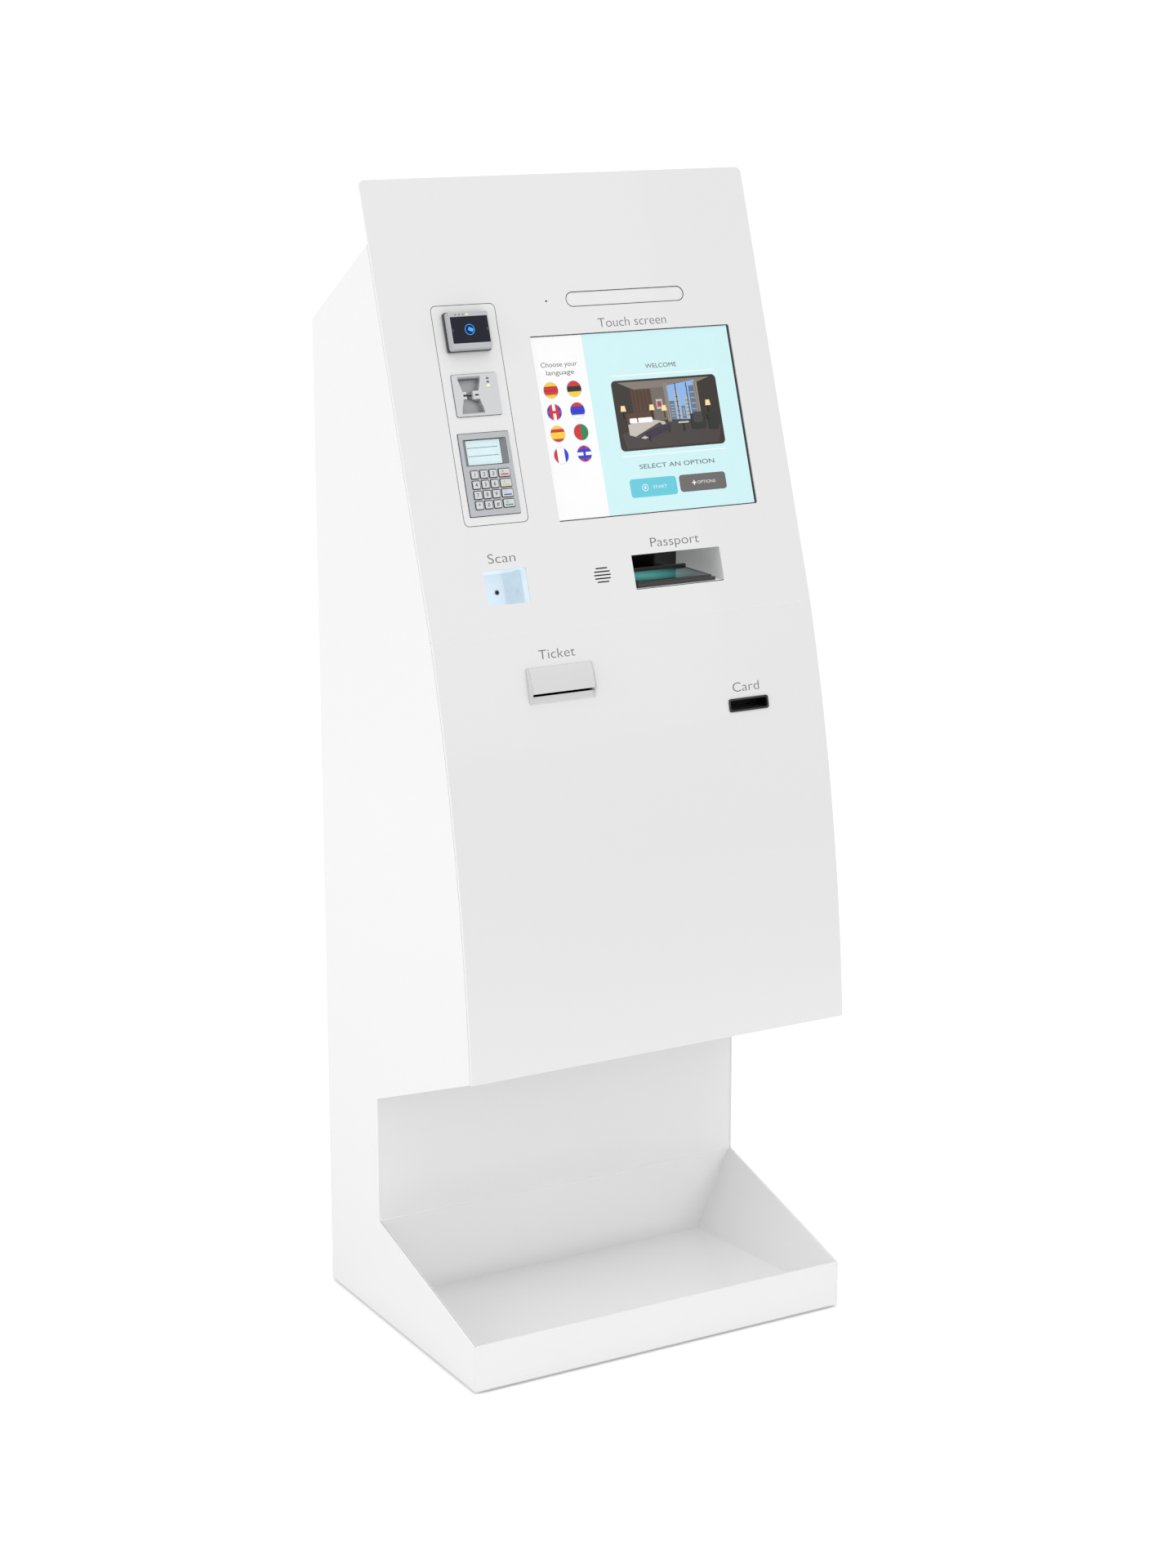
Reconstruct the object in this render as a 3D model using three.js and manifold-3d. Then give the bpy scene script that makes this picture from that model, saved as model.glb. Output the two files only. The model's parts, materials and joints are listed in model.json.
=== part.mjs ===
// A free-standing self-service kiosk: a leaning fascia that carries the screen, the payment devices,
// the readers and the outlets, on a folded steel cabinet with an open tray at its foot.
// Millimetres. +X is the user's right, -Y is the front, +Z is up. The origin is on the floor, under
// the middle of the kiosk's outer box.
import * as THREE from 'three';
import { mergeVertices } from 'three/addons/utils/BufferGeometryUtils.js';
import { ConvexGeometry } from 'three/addons/geometries/ConvexGeometry.js';
import Module from 'manifold-3d';

const wasm = await Module();
wasm.setup();

// ---- Driving dimensions: the cabinet ----------------------------------------------------------------
const WIDTH = 635;
const HEIGHT = 1725;
const DEPTH = 485;
const GAP = 0.3;              // between pieces that touch
const SEAM = 1.2;             // the open joint between the fascia and the side panels
const SIDE_SKIN = 2.5;        // side panels and front plinth
const FASCIA_SKIN = 4;
const SKIN = 2;               // folded inner sheets, covers and the door
const FLOOR_GAP = 4;          // under the cabinet's lower edge
const LIP_HEIGHT = 75;        // top of the front plinth
const SHELF_HEIGHT = 160;     // upper rear edge of the tray
const COLUMN_DEPTH = 173;     // lower column, behind the tray
const RECESS_TOP = 358;
const TOE_HEIGHT = 476;       // lower edge of the fascia
const TOE_SETBACK = 2.5;      // behind the plinth's face
const FOLD_HEIGHT = 1099;     // where the flat fascia meets the bowed one
const FOLD_SETBACK = 110;
const FASCIA_TILT = THREE.MathUtils.degToRad(18.6);
const LOWER_BOW = 17;         // how far the lower fascia bulges past its chord
const HEADER_RADIUS = 9;
const BACK_DROP = 208.5;      // from the top of the header down to the top of the back
const COVER_DROP = 86;        // from the top of the header down to where the top cover meets it

// The tray between the column and the plinth.
const TRAY_SKIN = 1.5;
const TRAY_FLOOR = 32;
const TRAY_REAR_INSET = 57;   // how far the leaning side wall has come in at the floor's rear corner
const TRAY_LEDGE = 1.2;       // the tray's rear wall stands this far in front of the recess panel

// The rear door, its frame, hinge and lock.
const FRAME_SET = 14.5;       // the frame's face, in front of the cabinet's rear edges
const FRAME_RING = 44;
const FRAME_RETURN = 10;
const FRAME_SILL = 150;       // lower edge of the door opening
const FRAME_HEAD = 46;        // from the top of the back down to the opening's upper edge
const DOOR_LAP = 20;          // the door covers the ring by this much above and below
const DOOR_SET = 2;           // the door's face, in front of the cabinet's rear edges
const DOOR_SIDE_GAP = 3;
const HINGE_RADIUS = 3.5;
const HINGE_PIN_RADIUS = 1.8;
const HINGE_INSET = 11;       // from the side panel's inner face to the pin
const HINGE_KNUCKLES = 7;
const VENT_SLOTS = 8;
const VENT_LENGTH = 170;
const VENT_HEIGHT = 5;
const VENT_PITCH = 14;
const LOCK_RADIUS = 9;
const LOCK_HEIGHT = 820;
const CAM_LENGTH = 32;

// Devices on the flat fascia: places are across from the middle and up from the fold.
const SCREEN = { across: 83.75, up: 288, width: 338.3, height: 271 };
const SCREEN_RADIUS = 3;
const GLASS_SET = 1.2;        // the touch glass lies this far behind the fascia's face
const GLASS_SKIN = 3;
const DISPLAY_BORDER = 12;
const DISPLAY_DEPTH = 16;
const LENS = { across: 83.6, up: 474.2, width: 199.6, height: 22.3 };
const MICROPHONE = { across: -48.8, up: 473.4, radius: 1.5 };
const DEVICE_PLATE = { across: -185.6, up: 316.5, width: 103.6, height: 318.2 };
const DEVICE_PLATE_RADIUS = 8;
const DEVICE_PLATE_GAP = 0.7;
const DEVICE_PLATE_LAP = 6;
const CONTACTLESS = { across: -187, up: 435, width: 69, height: 57.6 };
const CONTACTLESS_DEPTH = 16;
const CONTACTLESS_TAPER = 1.9;
const CARD_READER = { across: -185.9, up: 344.6, width: 72, height: 60.5 };
const CARD_READER_DEPTH = 92;
const CARD_READER_RIM = 2.2;
const PINPAD = { across: -185.8, up: 230.4, width: 80.4, height: 118.6 };
const PINPAD_PROUD = 1.5;
const PINPAD_DEPTH = 28;
const PINPAD_GAP = 0.8;
const PINPAD_LCD = { across: -187.1, up: 262.5, width: 54.4, height: 35.4 };
const KEY_ROWS = 4;
const KEY_PITCH = 14.7;
const KEY_HEIGHT = 10.8;
const KEY_TOP_ROW = 230.4;
const KEY_COLUMNS = [
  { across: -209.7, width: 11.4 },
  { across: -194.9, width: 11.4 },
  { across: -180.2, width: 11.4 },
  { across: -162.2, width: 17.4 },
];
const KEY_NAMES = ['1', '2', '3', 'cancel', '4', '5', '6', 'clear', '7', '8', '9', 'help',
  'star', '0', 'hash', 'enter'];
const KEY_PROUD = 1.6;
const KEY_DEEP = 3.4;
const KEY_TRAVEL = 1.5;
const KEY_GAP = 0.4;
const CODE_WELL = { across: -185.4, up: 67.6, width: 69.2, height: 50 };
const CODE_DEPTH = 50;
const CODE_LENS = { across: -177, up: 66, radius: 2.8 };
const SPEAKER = { across: -28.7, up: 69.9, radius: 14 };
const SPEAKER_SLOTS = 5;
const SPEAKER_PITCH = 5;
const SPEAKER_SLOT_HEIGHT = 1.9;
const PASSPORT = { across: 99, up: 68.6, width: 150.2, height: 50.6 };
const PASSPORT_REAR = 222.5;  // the slot's rear wall, in front of the cabinet's back
const PASSPORT_BED_HEIGHT = 9;
const PASSPORT_BODY = 66;

// Outlets on the bowed fascia: places are across from the middle and down from the fold.
const TICKET = { across: -122, down: 78.3, width: 108, height: 52 };
const TICKET_PROUD = 8.5;
const TICKET_CHEEK = 3;
const TICKET_SLOT = 3.5;
const TICKET_SLOT_DROP = 12;
const TICKET_SLEEVE = 12;
const PAPER_RADIUS = 38;
const PAPER_WIDTH = 80;
const SPINDLE_RADIUS = 6;
const PLATEN_RADIUS = 8;
const OUTLET = { across: 187.3, down: 142.6, width: 69, height: 19.8 };
const OUTLET_RADIUS = 4;
const OUTLET_RIM = 3;
const OUTLET_WALL = 1.6;
const OUTLET_PROUD = 1.5;
const OUTLET_SLEEVE = 30;
const CARD_LENGTH = 86;
const CARD_HOPPER = 100;
const FEED_RADIUS = 5.5;

// Equipment inside the cabinet.
const INNER_SHELF = 640;
const SHELF_SETBACK = 30;     // the inner shelf's front edge, behind the toe
const SHELF_REAR = 60;        // its rear edge, in front of the cabinet's rear edges
const SHELF_FLANGE = 25;
const COMPUTER = { across: 60, width: 240, depth: 220, height: 78, setback: 150 };
const FAN_RADIUS = 34;
const FAN_HUB = 11;
const FAN_WELL = 22;          // depth of the fan's round well
const FAN_PIN_RADIUS = 2;
const FAN_BLADES = 7;
const BLADE_PITCH = THREE.MathUtils.degToRad(35);
const SUPPLY = { across: -225, width: 120, depth: 130, height: 88 };
const SUPPLY_PORT = { width: 78, height: 40 };
const INLET = { width: 28, height: 20, depth: 14 };
const INLET_OFFSET = 12;      // the inlet is this far right of the supply's middle
const SWITCH = { width: 14, height: 21 };
const SWITCH_OFFSET = 24;     // and the switch this far left of it
const SWITCH_TILT = THREE.MathUtils.degToRad(8);
const FOOT_RADIUS = 18;
const FOOT_INSET = 45;
const STUD_RADIUS = 5;
const STUD_TOP = 24;

// ---- Worked-out lines of the side view --------------------------------------------------------------
const half = WIDTH / 2;
const innerHalf = half - SIDE_SKIN;
const sheetHalf = innerHalf - GAP;
const backTop = HEIGHT - BACK_DROP;
const fold = { y: FOLD_SETBACK - DEPTH, z: FOLD_HEIGHT };
const toe = { y: TOE_SETBACK - DEPTH, z: TOE_HEIGHT };
const chord = Math.hypot(toe.y - fold.y, toe.z - fold.z);
const chordTilt = Math.atan2(fold.y - toe.y, fold.z - toe.z);
const bowRadius = chord ** 2 / (8 * LOWER_BOW) + LOWER_BOW / 2;
const bowHalf = Math.asin(chord / 2 / bowRadius);
const bowLength = 2 * bowHalf * bowRadius;
const bowCentre = {
  y: fold.y + bowRadius * Math.cos(chordTilt + bowHalf),
  z: fold.z - bowRadius * Math.sin(chordTilt + bowHalf),
};
const flatLength = (HEIGHT - FOLD_HEIGHT) / Math.cos(FASCIA_TILT);
const coverRise = flatLength - COVER_DROP / Math.cos(FASCIA_TILT);

// The lean of the bowed fascia at a distance down from the fold.
function bowTilt(down) {
  return chordTilt + bowHalf - down / bowRadius;
}

// Points of the side view, as (y, z): down the bow or up the flat, and in from the outer face.
function bowPoint(down, inward) {
  const radius = bowRadius - inward;
  const y = bowCentre.y - radius * Math.cos(bowTilt(down));
  return new THREE.Vector2(y, bowCentre.z + radius * Math.sin(bowTilt(down)));
}

function flatPoint(rise, inward) {
  const y = fold.y + rise * Math.sin(FASCIA_TILT) + inward * Math.cos(FASCIA_TILT);
  return new THREE.Vector2(y, fold.z + rise * Math.cos(FASCIA_TILT) - inward * Math.sin(FASCIA_TILT));
}

// ---- Shape helpers ----------------------------------------------------------------------------------
const along = {
  x: new THREE.Vector3(1, 0, 0),
  y: new THREE.Vector3(0, 1, 0),
  z: new THREE.Vector3(0, 0, 1),
};

function block([x0, x1], [y0, y1], [z0, z1]) {
  const geometry = new THREE.BoxGeometry(x1 - x0, y1 - y0, z1 - z0);
  return geometry.translate((x0 + x1) / 2, (y0 + y1) / 2, (z0 + z1) / 2);
}

// A round bar along one axis, between two places on it. The other two places come in x, y, z order.
function rod(axis, [from, to], [first, second], radius, sides = 16) {
  const geometry = new THREE.CylinderGeometry(radius, radius, to - from, sides);
  const middle = (from + to) / 2;
  if (axis === 'x') return geometry.rotateZ(-Math.PI / 2).translate(middle, first, second);
  if (axis === 'y') return geometry.translate(first, middle, second);
  return geometry.rotateX(Math.PI / 2).translate(first, second, middle);
}

function extruded(shape, depth, curveSegments = 2) {
  return new THREE.ExtrudeGeometry(shape, { depth, bevelEnabled: false, curveSegments });
}

// A side-view outline, as (y, z), drawn out along X.
function drawnAcross(points, x0, x1) {
  const turn = new THREE.Matrix4().makeBasis(along.y, along.z, along.x);
  return extruded(new THREE.Shape(points), x1 - x0).applyMatrix4(turn).translate(x0, 0, 0);
}

// A front-view outline, as (x, z), drawn out along Y.
function plate(shape, y0, y1, curveSegments) {
  const turn = new THREE.Matrix4().makeBasis(along.x, along.z, along.y.clone().negate());
  return extruded(shape, y1 - y0, curveSegments).applyMatrix4(turn).translate(0, y1, 0);
}

// Draws a rectangle with round corners into a Shape or a Path.
function roundedInto(path, { across, up, width, height }, radius, grow = 0) {
  const w = width / 2 + grow;
  const h = height / 2 + grow;
  const r = Math.min(radius, w, h);
  path.moveTo(across - w + r, up - h);
  path.absarc(across + w - r, up - h + r, r, -Math.PI / 2, 0);
  path.absarc(across + w - r, up + h - r, r, 0, Math.PI / 2);
  path.absarc(across - w + r, up + h - r, r, Math.PI / 2, Math.PI);
  path.absarc(across - w + r, up - h + r, r, Math.PI, 1.5 * Math.PI);
  path.closePath();
  return path;
}

function rounded(area, radius, grow) {
  return roundedInto(new THREE.Shape(), area, radius, grow);
}

function roundedHole(area, radius, grow) {
  return roundedInto(new THREE.Path(), area, radius, grow);
}

// The box over an area of the fascia, from y0 to y1.
function areaBlock({ across, up, width, height }, y0, y1, grow = 0) {
  const w = width / 2 + grow;
  const h = height / 2 + grow;
  return block([across - w, across + w], [y0, y1], [up - h, up + h]);
}

function toSolid(geometry) {
  const bare = geometry.clone();
  bare.deleteAttribute('normal');
  bare.deleteAttribute('uv');
  const merged = mergeVertices(bare, 1e-4);
  return new wasm.Manifold(new wasm.Mesh({
    numProp: 3,
    vertProperties: Float32Array.from(merged.attributes.position.array),
    triVerts: Uint32Array.from(merged.index.array),
  }));
}

function toGeometry(solid) {
  const mesh = solid.getMesh();
  const geometry = new THREE.BufferGeometry();
  geometry.setAttribute('position', new THREE.BufferAttribute(mesh.vertProperties, 3));
  geometry.setIndex(new THREE.BufferAttribute(mesh.triVerts, 1));
  return geometry;
}

function cut(geometry, ...tools) {
  return toGeometry(tools.reduce((body, tool) => body.subtract(toSolid(tool)), toSolid(geometry)));
}

function join(...pieces) {
  return toGeometry(pieces.slice(1).reduce((body, piece) => body.add(toSolid(piece)), toSolid(pieces[0])));
}

// ---- Finishes ---------------------------------------------------------------------------------------
const finishes = {
  white: { color: 0xf2f3f4, roughness: 0.18, metalness: 0 },
  steel: { color: 0xb9bdc1, roughness: 0.4, metalness: 0.9 },
  zinc: { color: 0xc6cacd, roughness: 0.45, metalness: 0.8 },
  black: { color: 0x0c0c0d, roughness: 0.25, metalness: 0 },
  graphite: { color: 0x3a3c3f, roughness: 0.5, metalness: 0 },
  silver: { color: 0xd3d6d9, roughness: 0.35, metalness: 0.3 },
  keycap: { color: 0xc9cdd0, roughness: 0.3, metalness: 0.8 },
  glass: { color: 0x0f1215, roughness: 0.05, metalness: 0 },
  lens: { color: 0xe4e6e8, roughness: 0.1, metalness: 0 },
  rubber: { color: 0x1a1a1a, roughness: 0.8, metalness: 0 },
  paper: { color: 0xf6f5f0, roughness: 0.9, metalness: 0 },
};

const kiosk = new THREE.Group();
kiosk.position.y = DEPTH / 2;

function put(parent, name, geometry, finish) {
  const mesh = new THREE.Mesh(geometry, new THREE.MeshStandardMaterial(finishes[finish]));
  mesh.name = name;
  parent.add(mesh);
  return mesh;
}

// A group whose Y axis runs into the cabinet, square to the fascia, and whose Z axis runs up it.
function fasciaGroup({ x: y, y: z }, across, tilt) {
  const group = new THREE.Group();
  group.position.set(across, y, z);
  group.rotation.x = -tilt;
  kiosk.add(group);
  return group;
}

const flatFace = fasciaGroup(flatPoint(0, 0), 0, FASCIA_TILT);
const ticketFace = fasciaGroup(bowPoint(TICKET.down, 0), TICKET.across, bowTilt(TICKET.down));
const outletFace = fasciaGroup(bowPoint(OUTLET.down, 0), OUTLET.across, bowTilt(OUTLET.down));

// Moves a cutting tool from a fascia group into the cabinet's own frame.
function fromFace(group, geometry) {
  group.updateMatrix();
  return geometry.applyMatrix4(group.matrix);
}

// ---- Cabinet ----------------------------------------------------------------------------------------
const plinthBack = SIDE_SKIN - DEPTH + GAP;
const traySlope = (SHELF_HEIGHT - LIP_HEIGHT) / (DEPTH - COLUMN_DEPTH);
const fasciaBack = FASCIA_SKIN + SEAM;

// Height of the tray's sloping upper edge.
function trayEdge(y) {
  return LIP_HEIGHT + (y + DEPTH) * traySlope;
}

function bowPoints(inward, steps, start = 0) {
  return Array.from({ length: steps + 1 - start }, (_, i) => {
    return bowPoint(bowLength * (1 - i / steps), inward);
  });
}

function sideOutline() {
  const bowSteps = 10;
  return [
    new THREE.Vector2(0, FLOOR_GAP),
    new THREE.Vector2(plinthBack, FLOOR_GAP),
    new THREE.Vector2(plinthBack, trayEdge(plinthBack)),
    new THREE.Vector2(-COLUMN_DEPTH, SHELF_HEIGHT),
    new THREE.Vector2(-COLUMN_DEPTH, RECESS_TOP),
    ...bowPoints(fasciaBack, bowSteps, 1),
    flatPoint(0, fasciaBack),
    flatPoint(coverRise, fasciaBack),
    new THREE.Vector2(0, backTop),
  ];
}

put(kiosk, 'left_side_panel', drawnAcross(sideOutline(), -half, -innerHalf), 'white');
put(kiosk, 'right_side_panel', drawnAcross(sideOutline(), innerHalf, half), 'white');

put(kiosk, 'front_plinth',
  block([-half, half], [-DEPTH, SIDE_SKIN - DEPTH], [FLOOR_GAP, LIP_HEIGHT]), 'white');

const recessFace = TRAY_LEDGE - COLUMN_DEPTH;
put(kiosk, 'recess_panel', block([-sheetHalf, sheetHalf], [recessFace, recessFace + SKIN],
  [SHELF_HEIGHT + 1, RECESS_TOP - GAP]), 'white');

function undersidePanel() {
  const front = bowPoint(bowLength, fasciaBack);
  const slope = Math.atan2(front.y - RECESS_TOP, -COLUMN_DEPTH - front.x);
  const thickness = SKIN / Math.cos(slope);
  return drawnAcross([
    new THREE.Vector2(-COLUMN_DEPTH, RECESS_TOP),
    front,
    new THREE.Vector2(front.x, front.y + thickness),
    new THREE.Vector2(-COLUMN_DEPTH, RECESS_TOP + thickness),
  ], -sheetHalf, sheetHalf);
}
put(kiosk, 'underside_panel', undersidePanel(), 'white');

// The tray is one folded sheet. Its side walls lean in from the sloping edges to the floor.
const trayLean = TRAY_REAR_INSET / (SHELF_HEIGHT - TRAY_FLOOR);

function trayBlock(rear, floor, sideways, lift) {
  const points = [];
  for (const y of [plinthBack, rear]) {
    const top = trayEdge(y) + lift;
    for (const z of [floor, top]) {
      const reach = innerHalf - TRAY_SKIN - trayLean * (trayEdge(y) - z) + sideways;
      points.push(new THREE.Vector3(reach, y, z), new THREE.Vector3(-reach, y, z));
    }
  }
  return new ConvexGeometry(points);
}

function trayPan() {
  const wall = TRAY_SKIN - GAP;
  const shell = trayBlock(TRAY_SKIN - COLUMN_DEPTH, TRAY_FLOOR - TRAY_SKIN, wall, 0);
  const hollow = trayBlock(-COLUMN_DEPTH, TRAY_FLOOR, 0, 10);
  const beyondPlinth = block([-half, half], [-DEPTH, plinthBack + GAP], [0, LIP_HEIGHT + 20]);
  return cut(shell, hollow, beyondPlinth);
}
put(kiosk, 'tray_pan', trayPan(), 'white');

const footPlaces = [
  ['foot_front_left', FOOT_INSET - half, FOOT_INSET - DEPTH],
  ['foot_front_right', half - FOOT_INSET, FOOT_INSET - DEPTH],
  ['foot_rear_left', FOOT_INSET - half, -FOOT_INSET],
  ['foot_rear_right', half - FOOT_INSET, -FOOT_INSET],
];

function basePlate() {
  const studHole = ([, x, y]) => rod('z', [0, 20], [x, y], STUD_RADIUS + GAP, 12);
  const sheet = block([-sheetHalf, sheetHalf], [plinthBack, 0], [FLOOR_GAP, FLOOR_GAP + SIDE_SKIN]);
  return cut(sheet, ...footPlaces.map(studHole));
}
put(kiosk, 'base_plate', basePlate(), 'zinc');

for (const [name, x, y] of footPlaces) {
  const pad = rod('z', [0, FLOOR_GAP - GAP], [x, y], FOOT_RADIUS, 20);
  put(kiosk, name, join(pad, rod('z', [1, STUD_TOP], [x, y], STUD_RADIUS, 12)), 'rubber');
}

// ---- Fascia -----------------------------------------------------------------------------------------
function speakerSlots() {
  return Array.from({ length: SPEAKER_SLOTS }, (_, i) => {
    const rise = (i - (SPEAKER_SLOTS - 1) / 2) * SPEAKER_PITCH;
    const width = 2 * Math.sqrt(SPEAKER.radius ** 2 - rise ** 2);
    return { across: SPEAKER.across, up: SPEAKER.up + rise, width, height: SPEAKER_SLOT_HEIGHT };
  });
}

function upperFascia() {
  const low = GAP / 2;
  const outline = new THREE.Shape();
  outline.moveTo(-half, low);
  outline.lineTo(half, low);
  outline.absarc(half - HEADER_RADIUS, flatLength - HEADER_RADIUS, HEADER_RADIUS, 0, Math.PI / 2);
  outline.absarc(HEADER_RADIUS - half, flatLength - HEADER_RADIUS, HEADER_RADIUS, Math.PI / 2, Math.PI);
  outline.closePath();
  const microphoneHole = new THREE.Path();
  microphoneHole.absarc(MICROPHONE.across, MICROPHONE.up, MICROPHONE.radius, 0, 2 * Math.PI);
  outline.holes.push(
    roundedHole(SCREEN, SCREEN_RADIUS),
    roundedHole(LENS, LENS.height / 2),
    microphoneHole,
    roundedHole(DEVICE_PLATE, DEVICE_PLATE_RADIUS),
    roundedHole(CODE_WELL, 1),
    roundedHole(PASSPORT, 1),
    ...speakerSlots().map((slot) => roundedHole(slot, slot.height / 2)),
  );
  return plate(outline, 0, FASCIA_SKIN);
}
put(flatFace, 'upper_fascia', upperFascia(), 'white');

function lowerFascia() {
  const steps = 16;
  const outer = Array.from({ length: steps + 1 }, (_, i) => {
    return bowPoint(GAP / 2 + (bowLength - GAP / 2) * (i / steps), 0);
  });
  const inner = Array.from({ length: steps + 1 }, (_, i) => {
    return bowPoint(bowLength - (bowLength - GAP / 2) * (i / steps), FASCIA_SKIN);
  });
  const sheet = drawnAcross([...outer, ...inner], -half, half);
  const ticketHole = block([-sleeveHalf - GAP, sleeveHalf + GAP], [-20, 20],
    [-sleeveRise - GAP, sleeveRise + GAP]);
  const outletHole = plate(rounded(outletArea, OUTLET_RADIUS, OUTLET_WALL - OUTLET_RIM + GAP), -20, 20);
  return cut(sheet, fromFace(ticketFace, ticketHole), fromFace(outletFace, outletHole));
}
const sleeveHalf = TICKET.width / 2 - TICKET_CHEEK - 1;
const sleeveRise = TICKET.height / 2 - 6;
const outletArea = { across: 0, up: 0, width: OUTLET.width, height: OUTLET.height };
put(kiosk, 'lower_fascia', lowerFascia(), 'white');

function topCover() {
  const front = flatPoint(coverRise, fasciaBack);
  const slope = Math.atan2(front.y - backTop, -front.x);
  const drop = SKIN / Math.cos(slope);
  const rearFlange = 20;
  return drawnAcross([
    new THREE.Vector2(0, backTop),
    front,
    new THREE.Vector2(front.x, front.y - drop),
    new THREE.Vector2(-SKIN, backTop - drop + SKIN * Math.tan(slope)),
    new THREE.Vector2(-SKIN, backTop - rearFlange),
    new THREE.Vector2(0, backTop - rearFlange),
  ], -sheetHalf, sheetHalf);
}
put(kiosk, 'top_cover', topCover(), 'white');

// ---- Rear frame, door, hinge and lock ---------------------------------------------------------------
const frameBack = -FRAME_SET - SKIN;
const openingHalf = sheetHalf - FRAME_RING;
const openingTop = backTop - FRAME_HEAD;
const doorBottom = FRAME_SILL - DOOR_LAP;
const doorTop = openingTop + DOOR_LAP;
const hingePin = { x: innerHalf - HINGE_INSET, y: -(FRAME_SET + DOOR_SET) / 2 };
const doorRight = hingePin.x - HINGE_RADIUS - 4.5;
const doorLeft = DOOR_SIDE_GAP - innerHalf;
const lockPlace = { x: CAM_LENGTH / 2 - openingHalf, z: LOCK_HEIGHT };
const supplyBase = STUD_TOP + 4;
const supplyPort = { ...SUPPLY_PORT, across: SUPPLY.across, up: supplyBase + SUPPLY.height / 2 };

function rearFrame() {
  const low = FLOOR_GAP + SIDE_SKIN + GAP;
  const high = backTop - GAP;
  const sheet = block([-sheetHalf, sheetHalf], [frameBack, -FRAME_SET], [low, high]);
  const sides = [-1, 1].map((side) => {
    const edges = [side * sheetHalf, side * (sheetHalf - SKIN)].sort((a, b) => a - b);
    return block(edges, [-FRAME_SET - FRAME_RETURN, -FRAME_SET], [low, high]);
  });
  const opening = block([-openingHalf, openingHalf], [-60, 0], [FRAME_SILL, openingTop]);
  return cut(join(sheet, ...sides), opening, areaBlock(supplyPort, -60, 0, GAP));
}
put(kiosk, 'rear_frame', rearFrame(), 'white');

// The door's and the frame's hinge knuckles take turns along the pin.
function knuckleSpans(first) {
  const length = (doorTop - doorBottom) / HINGE_KNUCKLES;
  const spans = [];
  for (let i = first; i < HINGE_KNUCKLES; i += 2) {
    spans.push([doorBottom + i * length + GAP, doorBottom + (i + 1) * length - GAP]);
  }
  return spans;
}

function doorHinge() {
  const leaf = block([hingePin.x - 2, innerHalf - 1], [GAP - FRAME_SET, SKIN - FRAME_SET],
    [doorBottom, doorTop]);
  const pin = rod('z', [doorBottom, doorTop], [hingePin.x, hingePin.y], HINGE_PIN_RADIUS, 12);
  const knuckles = knuckleSpans(0).flatMap((span) => [
    rod('z', span, [hingePin.x, hingePin.y], HINGE_RADIUS, 12),
    block([hingePin.x - 1, hingePin.x + 1], [GAP - FRAME_SET, hingePin.y], span),
  ]);
  return join(leaf, pin, ...knuckles);
}
put(kiosk, 'door_hinge', doorHinge(), 'steel');

function ventSlots(bottom) {
  return Array.from({ length: VENT_SLOTS }, (_, i) => {
    return { across: 0, up: bottom + i * VENT_PITCH, width: VENT_LENGTH, height: VENT_HEIGHT };
  });
}

function rearDoor() {
  const face = -DOOR_SET;
  const back = GAP * 2 - FRAME_SET;
  const shell = block([doorLeft, doorRight], [back, face], [doorBottom, doorTop]);
  const hollow = block([doorLeft + SKIN, doorRight - SKIN], [back - 1, face - SKIN],
    [doorBottom + SKIN, doorTop - SKIN]);
  const slots = [...ventSlots(doorBottom + 70), ...ventSlots(doorTop - 70 - VENT_SLOTS * VENT_PITCH)];
  const vents = slots.map((slot) => plate(rounded(slot, VENT_HEIGHT / 2), -30, 5, 1));
  const lockHole = rod('y', [-30, 5], [lockPlace.x, lockPlace.z], LOCK_RADIUS + GAP, 20);
  const pan = cut(shell, hollow, ...vents, lockHole);
  const knuckles = knuckleSpans(1).flatMap((span) => [
    rod('z', span, [hingePin.x, hingePin.y], HINGE_RADIUS, 12),
    block([doorRight - 0.5, hingePin.x], [hingePin.y - 1.5, hingePin.y + 1.5], span),
  ]);
  const bore = rod('z', [doorBottom, doorTop], [hingePin.x, hingePin.y], HINGE_PIN_RADIUS + GAP, 12);
  return join(pan, cut(join(...knuckles), bore));
}
put(kiosk, 'rear_door', rearDoor(), 'white');

function doorLock() {
  const camFront = frameBack - 3;
  const plug = rod('y', [camFront, -0.5], [lockPlace.x, lockPlace.z], LOCK_RADIUS, 20);
  const cam = block([lockPlace.x - 8, lockPlace.x + 8], [camFront - 2.5, camFront],
    [lockPlace.z - 8, lockPlace.z + CAM_LENGTH]);
  const keyway = block([lockPlace.x - 0.9, lockPlace.x + 0.9], [-8, 2],
    [lockPlace.z - 4.5, lockPlace.z + 4.5]);
  return cut(join(plug, cam), keyway);
}
put(kiosk, 'door_lock', doorLock(), 'steel');

// ---- Display and camera -----------------------------------------------------------------------------
put(flatFace, 'touch_glass', plate(rounded(SCREEN, SCREEN_RADIUS, -0.5), GLASS_SET, GLASS_SET + GLASS_SKIN),
  'glass');

const displayFace = Math.max(FASCIA_SKIN, GLASS_SET + GLASS_SKIN) + GAP;
put(flatFace, 'display_module',
  areaBlock(SCREEN, displayFace, displayFace + DISPLAY_DEPTH, DISPLAY_BORDER), 'steel');

put(flatFace, 'camera_window', plate(rounded(LENS, LENS.height / 2, -0.4), 0.8, FASCIA_SKIN), 'lens');

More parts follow.
